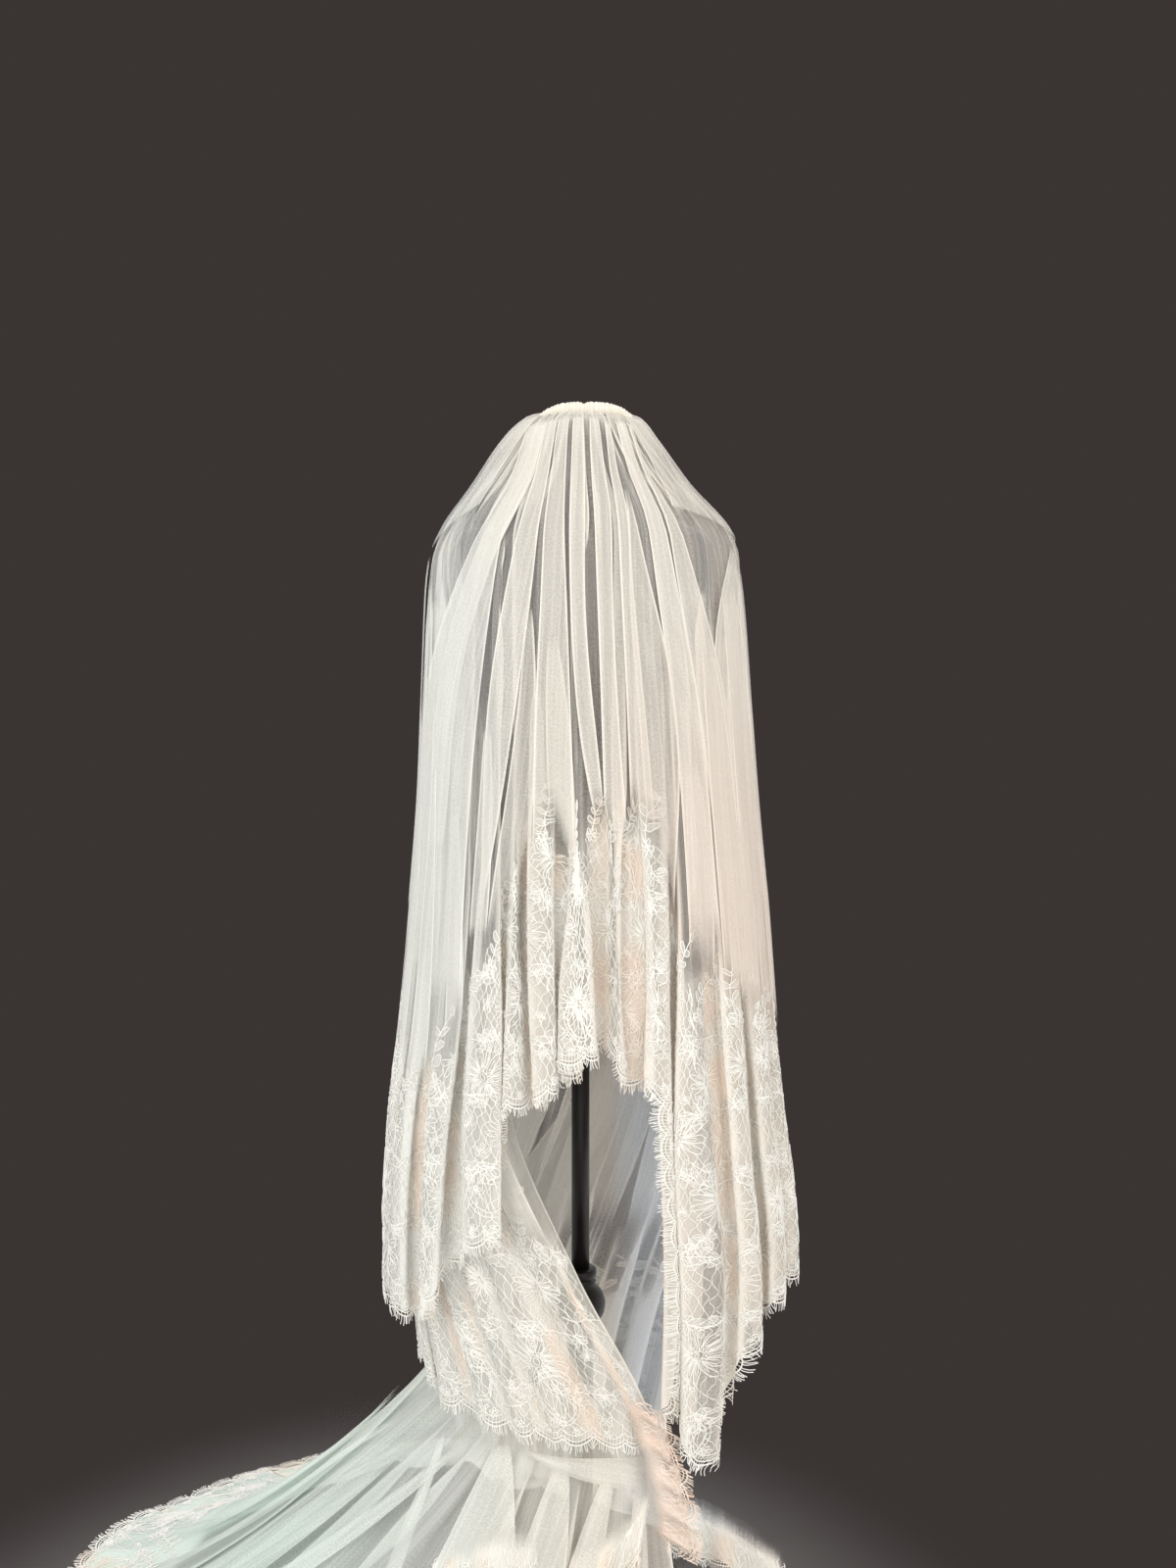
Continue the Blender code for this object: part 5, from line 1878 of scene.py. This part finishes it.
TRAIN_DRAPES = rows_of(
    Drape,
    ((70, 77.5, 85), (2, 22, 70), (3, 9, 15), 5, 1, 0.24),
    ((79, 83, 87), (-1, 14, 48), (4, 38, 90), 7, 2, 0.12),
    ((60, 57, 55.5, 55.5), (4, 25, 50, 88), (2, 8, 13, 18), 6, 2, 0.16),
    ((65, 62, 60, 60), (4, 25, 50, 88), (2, 7, 12, 18), 5, 2, 0.1),
    ((55, 52, 50, 49), (4, 25, 50, 90), (2, 7, 11, 16), 6, 2, 0.15),
    ((68, 67, 67, 68), (5, 30, 60, 92), (5, 22, 34, 44), 4, 2, 0.06),
    ((82, 88, 94, 99.5), (0, 1, 1.5, 2), (1, 8, 15, 19), 9, 9, 0.22),
    ((88, 89, 90), (0, 16, 52), (4, 26, 50), 7, 4, 0.08),
    ((94, 92.5, 91), (1, 16, 52), (3, 16, 26), 9, 4, 0.16),
    ((75, 72, 68), (2, 28, 76), (3, 12, 18), 7, 3, 0.14),
    ((97, 96.5, 96), (2, 30, 80), (4, 16, 24), 8, 3, 0.12),
    ((47, 46, 46), (4, 40, 92), (4, 16, 24), 5, 3, 0.1),
    ((38, 37, 35), (4, 40, 90), (4, 14, 22), 5, 3, 0.12),
    ((28, 29, 30), (6, 45, 92), (5, 18, 24), 5, 3, 0.1),
    ((19, 19, 17), (5, 40, 88), (4, 13, 18), 5, 3, 0.12),
    ((9, 9, 10), (8, 45, 85), (4, 11, 14), 5, 3, 0.12),
)


@dataclass
class Train:
    """The back tier's stretch that lies on the floor. It comes out from under the tier's hem
    and fans out in long ribbon-like pleats, drawn to the left. Its coordinate `w` runs out from
    0 at the tier's hem to 1 at its own; below 0 it is inside the tier."""

    tier: BackTier
    name: str = "train_cloth"
    pleat_columns: int = 26
    flap_columns: int = 8
    rows: int = 56
    tuck: float = 0.028
    hang: float = 0.0295
    tuck_step: float = 0.0064
    tuck_share: float = 0.08
    ridge: float = 0.016
    mound: float = 0.034
    edge_width: float = 0.03
    drape_rows: int = 44
    floor: float = 0.0008
    lace_wide: float = 0.175
    lace_rows: int = 60
    lace_below: float = 0.018
    lace_above: float = 0.07
    lace_reach: tuple = (0.3, 1.04, 140)

    def surface(self, p: Array, w: Array) -> tuple[Array, Array, Array]:
        """The train's cloth.

        Args:
            p: cloth coordinates across it.
            w: how far out each point lies.

        Returns:
            The points, how sharply the cloth turns back, and how deep in a valley it lies.
        """
        tier = self.tier
        pleat = tier.pleat(p)
        away = np.clip(w, 0.0, 1.0)
        flank, number = pleat.flank, pleat.number
        open_here = (0.5 + 0.5 * np.sin(pleat.valley * 1.9 + 2.0)) * ease(away * 2)
        uneven = 0.7 + 0.6 * np.sin(flank * 2.4 + 1.1) + 0.4 * np.sin(flank * 1.3 + away * 5.0)
        turn = (0.08 + 0.2 * ease(away * 5)) * np.clip(uneven, 0.0, 1.2) - 0.22 * open_here
        turn = np.where(pleat.flap, 0.0, np.maximum(turn, 0.0))
        lean = np.where(pleat.flap, 0.0, 0.16 * np.sin(number * 1.7 + 0.3)) * ease(away * 3)
        across, sharp = pleat.turned(turn, 0.0, self.edge_width)
        share = between(tier.places, number, across + lean * pleat.rise)
        flat_share = tier.along(tier.places, p)
        z = self.start_height(flat_share) + (self.tuck + self.hang) * np.clip(-w / self.tuck_share, 0.0, 1.0)
        start = self.start(share, z, tier.depth(z) * pleat.offset)
        points = self.lie(share, flat_share, start, w)
        high = self.ridge * (0.9 + 0.6 * np.sin(number * 2.9 + 1.0))
        swell = np.maximum((1 + pleat.offset) / 2, 0.0) * np.sin(math.pi * np.minimum(away, 0.9))
        ruck = 2.5 * MM * (1 + ripple(p * 2.1, w * 9.0, 2.2)) * ease(away * 6) * ease((1 - away) * 5)
        points[..., 2] += high * swell + ruck
        crease = np.where(pleat.flap, 0.0, 0.62 * ease((turn - 0.07) / 0.05) * sharp)
        return points, crease, pleat.depth()

    def start_height(self, share: Array) -> Array:
        """The height where the train comes out from under the tier."""
        return BACK_HEM.read("hem", share) - self.hang

    def start(self, share: Array, z: Array, out: Array) -> Array:
        """Points under the tier's own cloth, where the train comes out."""
        inset = self.tier.inset(z) + self.tuck_step
        return cloth_point(self.tier.angle(share, z), z, out - inset)

    def lie(self, share: Array, flat_share: Array, start: Array, w: Array) -> Array:
        """Where the cloth lies before its pleats rise, with the mound at its right corner.

        Args:
            share: place across the train's cloth.
            flat_share: that place, before the pleats shift it.
            start: points where the train comes out.
            w: share of the way out to the hem.

        Returns:
            The points, one row of x, y and z each.
        """
        target = np.stack([TRAIN_RAYS.read("x", share), TRAIN_RAYS.read("y", share),
                           np.full_like(share, self.floor)], axis=-1)
        points = start + (target - start) * np.clip(w, 0.0, 1.05)[..., None]
        fall = TRAIN_RAYS.read("fall", flat_share)
        away = np.clip(w, 0.0, 1.0)
        far = ((flat_share - 0.02) / 0.05) ** 2 + ((away - 0.55) / 0.3) ** 2
        points[..., 2] = (self.floor + (start[..., 2] - self.floor) * (1 - away) ** fall
                          + self.mound * np.exp(-far))
        return points

    def over(self, share: Array, w: Array) -> Array:
        """Places just over the train's pleats, for its loose folds.

        Args:
            share: place across the train's cloth.
            w: share of the way out to the hem.

        Returns:
            The points, one row of x, y and z each.
        """
        z = self.start_height(share)
        points = self.lie(share, share, self.start(share, z, 0.6 * self.tier.depth(z)), w)
        points[..., 2] += self.ridge * np.sin(math.pi * np.clip(w, 0.0, 0.9))
        return points

    def drapes(self) -> list[tuple[Array, Array]]:
        """The loose folds that lie across the train: the points of each strip, and how dense it
        looks at each.

        Returns:
            One pair for each strip: its points, and how dense each looks.
        """
        along = np.linspace(0.0, 1.0, self.drape_rows)
        c = np.array([-1.0, -0.93, -0.6, -0.2, 0.2, 0.6, 0.93, 1.0])
        rims = np.abs(c) == 1.0
        fade = (ease(along / 0.2) * ease((1 - along) / 0.4))[:, None]
        strips = []
        for number, row in enumerate(TRAIN_DRAPES):
            share, w, half = (curve(part, along) for part in (row.share, row.out, row.half))
            share, w, half = share / 100, w / 100, np.maximum(half, 0.3) * MM
            middle = self.over(share, w)
            square = np.cross(self.over(share + 0.004, w) - middle, self.over(share, w + 0.01) - middle)
            up = unit(square * np.sign(square[:, 2:]))
            side = unit(np.cross(up, np.gradient(middle, axis=0)))
            arch = (row.lift + row.arch * (1 - c ** 2))[None, :, None] * MM
            strip = middle[:, None] + side[:, None] * (half[:, None] * c)[..., None] + up[:, None] * arch
            strip[..., 2] = np.maximum(strip[..., 2], self.floor + 0.4 * MM)
            streaks = 0.12 * ripple(c * 4.0 + number, along[:, None] * 6.0, number * 1.3)
            dense = row.dense + (0.46 - row.dense) * rims + streaks
            strips.append((strip, dense * fade - 1.1 * (1 - fade)))
        return strips

    def build(self, finish: Material) -> Piece:
        """Builds the train's cloth as one sheet.

        Args:
            finish: its material.

        Returns:
            The piece, in the scene.
        """
        p = self.tier.columns(self.flap_columns, self.pleat_columns)
        under = [-self.tuck_share, -self.tuck_share / 2]
        grid, out = np.meshgrid(p, np.concatenate([under, np.linspace(0.0, 1.0, self.rows)]))
        points, crease, valley = self.surface(grid, out)
        down = arc_lengths(points, 0)
        lace = ease((self.lace_wide + 0.02 - (down[-1] - down)) / 0.03)
        numbers = {"crease": rimmed(crease, grid), "valley": valley, "lace": lace}
        return sheet(self.name, points, arc_lengths(points[-1], 0), numbers, self.drapes(), finish)

    def lace_cloth(self) -> tuple[ClothMap, Array, Array]:
        """The surface that the train's lace lies on, by the distance in from its hem.

        Returns:
            The surface, the hem's height along it and the lace's top.
        """
        p = self.tier.columns(self.flap_columns, self.pleat_columns)
        w = np.linspace(*self.lace_reach)
        points, _, valley = self.surface(*np.meshgrid(p, w))
        down = arc_lengths(points, 0)
        hem_row = int(np.abs(w - 1.0).argmin())
        rising = (down[hem_row] - down)[::-1]
        known = np.concatenate([points, valley[..., None]], axis=-1)[::-1]
        v = np.linspace(-self.lace_below, self.lace_wide + self.lace_above, self.lace_rows)
        lay = np.empty((len(v), len(p), 4))
        for k, part in np.ndindex(len(p), 4):
            lay[:, k, part] = np.interp(v, rising[:, k], known[:, k, part])
        across = arc_lengths(points[hem_row], 0)
        cloth = ClothMap(lay[..., :3], across, v[0], v[1] - v[0], lay[..., 3])
        return cloth, np.zeros(len(p)), self.lace_wide * (0.8 + 0.2 * np.sin(across * 7.0))


@dataclass(frozen=True)
class Fall:
    """A length of lace that has turned over and lies in loose folds: its inner edge's places,
    the way to its scalloped edge, its width, and how deep and how many its folds are."""

    name: str
    x: tuple
    y: tuple
    z: tuple
    toward: tuple
    wide: float
    deep: float
    waves: float
    floor: float = 1.5 * MM
    below: float = 0.016
    columns: int = 90
    rows: int = 40

    def net(self, finish: Material) -> Piece:
        """Builds the net that the lace is worked on, down to its scalloped edge.

        Args:
            finish: its material.

        Returns:
            The piece, in the scene.
        """
        cloth, _, _ = self.cloth()
        kept = cloth.points[int(self.below / cloth.step):]
        up = np.linspace(0.0, 1.0, len(kept))[:, None]
        along = np.linspace(0.0, 1.0, kept.shape[1])
        shown = ease((1 - up) / 0.55) * ease(along / 0.12) * ease((1 - along) / 0.12)
        numbers = {"crease": 0.2 * shown - 1.1 * (1 - shown), "lace": shown,
                   "valley": cloth.valley[-len(kept):]}
        return sheet(self.name + "_net", kept, cloth.across, numbers, [], finish)

    def cloth(self) -> tuple[ClothMap, Array, Array]:
        """The surface of the folded lace, with its hem and its top.

        Returns:
            The surface, the hem's height along it and the lace's top.
        """
        share = np.linspace(0.0, 1.0, self.columns)
        inner = np.stack([curve(part, share) for part in (self.x, self.y, self.z)], axis=-1)
        out = unit(np.array(self.toward, float))
        face = unit(np.cross(unit(np.gradient(inner, axis=0)), out))
        v = np.linspace(-self.below, self.wide + 0.02, self.rows)
        reach = (self.wide - v)[:, None]
        wave = np.sin(math.tau * self.waves * share + 1.4 * np.sin(5.0 * share))
        lift = self.deep * wave * np.clip(reach / self.wide, 0.0, 1.2)
        points = inner + out * reach[..., None] + face * lift[..., None]
        across = arc_lengths(points[0], 0)
        valley = np.broadcast_to(0.75 - 0.25 * wave, lift.shape)
        points[..., 2] = np.maximum(points[..., 2], self.floor)
        return (ClothMap(points, across, v[0], v[1] - v[0], valley), np.zeros(len(share)),
                self.wide * (0.9 + 0.1 * np.sin(share * 9.0)))


LACE_FALLS = (
    Fall("back_lace_fall", (0.090, 0.092, 0.076, 0.056), (-0.184, -0.176, -0.166, -0.158),
         (0.205, 0.258, 0.315, 0.372), (1.0, -0.25, -0.35), 0.038, 0.01, 5.5),
    Fall("train_lace_fall_right", (-0.018, 0.015, 0.055, 0.086), (-0.220, -0.222, -0.206, -0.180),
         (0.214, 0.226, 0.246, 0.268), (-0.2, -0.6, -0.8), 0.05, 0.009, 3.5),
    Fall("train_lace_fall_left", (-0.170, -0.130, -0.085, -0.040), (-0.208, -0.220, -0.222, -0.218),
         (0.212, 0.228, 0.24, 0.228), (-0.1, -0.65, -0.75), 0.052, 0.008, 3.0),
    Fall("train_lace_fall_far", (0.130, 0.185, 0.235, 0.285), (0.120, 0.096, 0.074, 0.050),
         (0.068, 0.066, 0.05, 0.032), (-0.15, -0.85, -0.3), 0.06, 0.005, 3.5),
)


@dataclass
class Heading:
    """The gathered heading: both tiers drawn up on their thread into a puckered roll."""

    name: str = "heading_ruffle"
    shift: float = 0.007
    width: float = 0.123
    droop: float = 0.005
    bottom: float = 1.5885
    top: float = 1.607
    depth: float = 0.022
    stations: int = 260
    round_it: int = 40

    def build(self, finish: Material) -> Piece:
        """Builds the roll, its fine gathers and its two soft humps.

        Args:
            finish: its material.

        Returns:
            The piece, in the scene.
        """
        s = np.linspace(-1.0, 1.0, self.stations)[:, None]
        t = math.tau * np.arange(self.round_it)[None] / self.round_it
        gather = s * 46.0 + 1.6 * np.sin(s * 7.0 + 1.0) + 0.9 * np.sin(s * 19.0)
        fold = np.abs(np.sin(gather + 0.35 * np.sin(t)))
        hump = 1 - 0.66 * np.abs(s) ** 3.0 - 0.15 * np.exp(-((s + 0.04) / 0.06) ** 2)
        height = (self.top - self.bottom) * hump + 1.1 * MM * (fold - 0.6)
        half = self.depth * (1 - 0.4 * s * s) / 2 + 1.2 * MM * (fold ** 0.7 - 0.6)
        rise = 0.5 + 0.5 * np.sin(t)
        side = np.cos(t)
        y = half * np.sign(side) * np.abs(side) ** 0.8 * (1 + 0.1 * (1 - rise))
        z = self.bottom - self.droop * np.abs(s) ** 4 + height * rise ** 0.9
        x = self.shift + s * self.width / 2 + 0.5 * MM * np.sin(t * 2 + s * 21.0)
        points = np.stack(np.broadcast_arrays(x, y, z), axis=-1)
        points[[0, -1], :, 1] *= 0.25
        faces = grid_faces(self.stations, self.round_it, Skin.ROUND)
        valley = np.broadcast_to(1 - fold, y.shape)
        flat = np.stack(np.broadcast_arrays(s * self.width / 2, t * 0.008), axis=-1)
        return mesh_object(self.name, points, faces, [finish], {"valley": valley}, flat)


# -------------------- The form --------------------


def lathe(name: str, profile: Array, finish: Material, sides: int = 96) -> Piece:
    """A turned piece from its profile of heights and radii, listed from the top down.

    Args:
        name: its name.
        profile: heights and radii.
        finish: its material.
        sides: how many sides it has.

    Returns:
        The piece, in the scene.
    """
    z, radius = profile.T[..., None]
    turn = math.tau * np.arange(sides) / sides
    points = np.stack(np.broadcast_arrays(radius * np.sin(turn), -radius * np.cos(turn), z), axis=-1)
    return mesh_object(name, points, grid_faces(len(z), sides, Skin.ROUND), [finish])


def rounded(profile: Array, steps: int) -> Array:
    """A turned profile with more points, along a smooth curve through its own.

    Args:
        profile: heights and radii.
        steps: points in each stretch.

    Returns:
        The longer profile.
    """
    along = np.concatenate([[0.0], np.cumsum(np.hypot(*np.diff(profile, axis=0).T))])
    read = np.unique(np.concatenate([np.linspace(0.0, along[-1], steps), along]))
    return np.stack([smooth(along, values, read) for values in profile.T], axis=-1)


@dataclass
class DressForm:
    """The limbless dress form: its knitted torso, neck cap, pole, turned post and base."""

    shift: float = 0.006
    sides: int = 96
    rows: int = 72
    pole_radius: float = 0.012
    base_radius: float = 0.15
    base_thick: float = 0.016
    base_round: float = 0.003
    post_rows: int = 70
    eye: float = 0.001

    def torso(self, finish: Material) -> Piece:
        """Builds the smooth torso with its flat underside and neck top.

        Args:
            finish: its material.

        Returns:
            The piece, in the scene.
        """
        low, high = TORSO.rows[[0, -1], 0]
        z = np.linspace(high, low, self.rows)[:, None]
        turn = 360.0 * np.arange(self.sides) / self.sides
        points = section(TORSO, turn, z) + np.array([self.shift, 0.0, 0.0])
        middle = np.array([[self.shift, 0.0, high], [self.shift, 0.0, low]])
        caps = np.broadcast_to(middle[:, None], (2, self.sides, 3))
        points = np.concatenate([caps[:1], points, caps[1:]])
        faces = grid_faces(self.rows + 2, self.sides, Skin.ROUND)
        return mesh_object("form_torso_cover", points, faces, [finish])

    def pole(self, finish: Material) -> Piece:
        """Builds the round pole.

        Args:
            finish: its material.

        Returns:
            The piece, in the scene.
        """
        low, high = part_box("form_pole")
        rim = ((high.z, self.eye), (high.z, self.pole_radius), (low.z, self.pole_radius),
               (low.z, self.eye))
        return lathe("form_pole_round", np.array(rim), finish)

    def post(self, finish: Material) -> Piece:
        """Builds the turned post with its collar and bulb."""
        profile = np.vstack([(POST.rows[0, 0], self.eye / 2), POST.rows])
        return lathe("form_post_turned", rounded(profile, self.post_rows), finish, 80)

    def base(self, finish: Material) -> Piece:
        """Builds the round weighted base with its eased upper edge.

        Args:
            finish: its material.

        Returns:
            The piece, in the scene.
        """
        ring = [(self.base_thick - self.base_round * (1 - math.cos(a)),
                 self.base_radius - self.base_round * (1 - math.sin(a)))
                for a in np.linspace(0.0, math.pi / 2, 6)]
        profile = ((self.base_thick, self.eye), *ring, (0.0, self.base_radius), (0.0, self.eye))
        return lathe("form_base_disc", np.array(profile), finish)

    def build(self) -> None:
        """Builds and dresses the form, and finishes the neck cap and the comb."""
        lacquer = Lacquer().material()
        dress(self.torso(Jersey().material()), "form_jersey", "form_torso")
        dress(self.pole(lacquer), "black_lacquer", "form_pole")
        dress(self.post(lacquer), "black_lacquer", "form_post")
        dress(self.base(lacquer), "black_lacquer", "form_base")
        for node, finish in (("form_neck_cap", lacquer), ("comb", Clear().material())):
            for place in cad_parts[node].material_slots:
                place.material = finish


# -------------------- Studio --------------------


@dataclass(frozen=True)
class Lamp:
    """One square soft light: where it hangs, what it looks at, its side and its watts."""

    name: str
    place: tuple
    aim: tuple
    size: float
    power: float
    colour: tuple

    def hang(self) -> None:
        """Hangs the light."""
        data = bpy.data.lights.new(self.name, "AREA")
        data.size, data.energy, data.color = self.size, self.power, self.colour
        made = linked(self.name, data)
        made.location = self.place
        way = made.location.copy()
        for axis in range(3):
            way[axis] = self.aim[axis] - self.place[axis]
        made.rotation_euler = way.to_track_quat("-Z", "Y").to_euler()


LAMPS = rows_of(
    Lamp,
    ("key_softbox", (-1.9, -2.7, 2.5), (0.0, 0.0, 0.95), 2.2, 54.0, (1.0, 0.99, 0.97)),
    ("fill_softbox", (2.3, -2.3, 1.6), (0.0, 0.0, 0.9), 2.2, 30.0, (1.0, 0.96, 0.92)),
    ("back_softbox", (0.6, 2.4, 2.6), (0.0, 0.0, 1.0), 2.0, 26.0, (0.95, 0.98, 1.0)),
)


@dataclass
class Studio:
    """The camera, the soft lights, the dark backdrop and the pale floor."""

    camera_place: tuple = (0.01, -1.57, 1.1)
    focal_pixels: float = 1205.0
    frame_height: float = 1600.0
    sensor: float = 36.0
    backdrop: tuple = (0.0423, 0.0343, 0.0331)
    soft_white: tuple = (1.0, 0.99, 0.975)
    ambient: float = 0.84
    floor_middle: tuple = (-0.2, -0.24)
    floor_radius: float = 0.84
    floor_drop: float = 0.0006
    floor_dark: tuple = (0.33, 0.325, 0.32)
    floor_light: tuple = (0.37, 0.365, 0.36)

    def camera(self) -> None:
        """Sets the camera up, level and straight on."""
        data = bpy.data.cameras.new("studio_camera")
        data.sensor_width = self.sensor
        data.lens = self.sensor * self.focal_pixels / self.frame_height
        made = linked("studio_camera", data)
        made.location = self.camera_place
        made.rotation_euler = (math.pi / 2, 0.0, 0.0)
        bpy.context.scene.camera = made

    def world(self) -> None:
        """Makes the air light softly all round, and dark where the camera looks past."""
        world = bpy.data.worlds.new("studio_air")
        world.use_nodes = True
        tree = world.node_tree
        tree.nodes.clear()
        shaders = []
        for colour, strength in ((self.soft_white, self.ambient), (self.backdrop, 1.0)):
            shaders.append(tree.nodes.new("ShaderNodeBackground"))
            shaders[-1].inputs["Color"].default_value = (*colour, 1.0)
            shaders[-1].inputs["Strength"].default_value = strength
        path, mix, out = (tree.nodes.new("ShaderNode" + kind)
                          for kind in ("LightPath", "MixShader", "OutputWorld"))
        tree.links.new(path.outputs["Is Camera Ray"], mix.inputs[0])
        for number, shader in enumerate(shaders, 1):
            tree.links.new(shader.outputs[0], mix.inputs[number])
        tree.links.new(mix.outputs[0], out.inputs["Surface"])
        bpy.context.scene.world = world

    def floor(self) -> None:
        """Lays the pale floor as a round that fades out into the dark."""
        make = Nodes("studio_floor_pale")
        place = make.place()
        length = make.add("VectorMath", {0: place}, operation="LENGTH").outputs["Value"]
        cover = make.scaled(length, 0.05, self.floor_radius, 0.9, 0.0)
        colour = make.blend(make.noise(place, 3.0, 3.0), self.floor_dark, self.floor_light)
        make.give(make.shader, {"Alpha": cover, "Base Color": colour, "Roughness": 0.8})
        made = lathe("studio_floor", np.array([(0.0, 0.001), (0.0, self.floor_radius)]), make.material)
        made.location = (*self.floor_middle, -self.floor_drop)
        made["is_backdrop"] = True

    def build(self) -> None:
        """Sets up the whole studio."""
        self.camera()
        self.world()
        self.floor()
        for lamp in LAMPS:
            lamp.hang()
        scene = bpy.context.scene
        scene.view_settings.view_transform = "Standard"
        scene.view_settings.look = "None"
        scene.cycles.transparent_max_bounces = 40
        scene.cycles.max_bounces = 6


# -------------------- The whole --------------------


@dataclass
class Veil:
    """The bridal veil: its heading, its two tiers with lace and fringe, and its train."""

    front: FrontTier = field(default_factory=FrontTier)
    back: BackTier = field(default_factory=BackTier)
    heading: Heading = field(default_factory=Heading)

    def dress_front(self, tulle: Material, laces: list) -> None:
        """Builds the front tier, its lace in two pieces, and its fringe.

        Args:
            tulle: the tulle's material.
            laces: the lace's materials, in the order of their slots.
        """
        cloth = dress(self.front.build(tulle), "tulle", "front_tier")
        border = LaceBorder(*self.front.lace_cloth(), seed=11)
        middle = border.cloth.across[-1] / 2
        left = border.threads.piece("front_lace_left_cords", laces, high=middle)
        right = border.threads.piece("front_lace_right_cords", laces, low=middle)
        fringe = border.lashes.piece("front_fringe_threads", laces)
        dress(left, "lace", "front_lace_left")
        dress(right, "lace", "front_lace_right")
        dress(fringe, "lace", "front_fringe")

    def dress_back(self, tulle: Material, laces: list) -> None:
        """Builds the back tier, its lace and its fringe.

        Args:
            tulle: the tulle's material.
            laces: the lace's materials, in the order of their slots.
        """
        cloth = dress(self.back.build(tulle), "tulle", "back_tier")
        border = LaceBorder(*self.back.lace_cloth(), seed=23)
        lace = dress(border.threads.piece("back_lace_cords", laces), "lace", "back_lace")
        fringe = dress(border.lashes.piece("back_fringe_threads", laces), "lace", "back_fringe")

    def dress_train(self, tulle: Material, laces: list) -> None:
        """Builds the train and its lace.

        Args:
            tulle: the tulle's material.
            laces: the lace's materials, in the order of their slots.
        """
        train = Train(self.back)
        cloth = dress(train.build(tulle), "tulle", "train")
        border = LaceBorder(*train.lace_cloth(), seed=37, vine_pitch=11.0 * MM, vine_sway=4.3 * MM,
                            vine_wave=19.0 * MM, flower_across=0.15, lift=0.8 * MM)
        lace = dress(border.threads.piece("train_lace_cords", laces), "lace", "train_lace")
        fringe = dress(border.lashes.piece("train_fringe_threads", laces), "lace")
        # The back fall's lace and net are darker, peachier shaded copies: painted shade.
        shade = Lace("lace_in_shade", (0.92, 0.80, 0.70), (0.86, 0.60, 0.47), fold_shade_share=0.9)
        shaded = [shade.material(), laces[1]]
        shaded_net = Tulle(name="soft_tulle_shaded", ivory=(0.86, 0.70, 0.59)).material()
        for number, fall in enumerate(LACE_FALLS):
            loose = LaceBorder(*fall.cloth(), seed=51 + number, flower_across=0.05,
                               flower_up=0.04, flower_size=0.018, oval_pitch=9.0)
            fall_laces = shaded if number == 0 else laces
            dress(loose.threads.piece(fall.name, fall_laces), "lace")
            dress(loose.lashes.piece(fall.name + "_lashes", fall_laces), "lace")
            dress(fall.net(tulle if number else shaded_net), "tulle")

    def build(self) -> None:
        """Builds and dresses the whole veil."""
        tulle = Tulle().material()
        # The train's tulle carries a painted green light tint.
        mint_light_tint = Tulle(name="soft_tulle_mint", mint_light_share=0.85, thin=0.35).material()
        laces = [Lace().material(), Lace(name="lace_filling", cover=0.42).material()]
        dress(self.heading.build(Gathered().material()), "tulle", "heading")
        self.dress_front(tulle, laces)
        self.dress_back(tulle, laces)
        self.dress_train(mint_light_tint, laces)


def main() -> None:
    """Builds every piece in order, and keeps the two sizes."""
    logging.basicConfig(level=logging.INFO, format="%(name)s %(message)s")
    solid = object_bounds()
    Studio().build()
    DressForm().build()
    Veil().build()
    sizes = {"cad_box": [list(corner) for corner in solid],
             "visual_box": [list(corner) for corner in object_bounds()]}
    for name, corners in sizes.items():
        LOG.info("%s: %s", name, [[round(value, 4) for value in corner] for corner in corners])


if __name__ == "__main__":
    main()
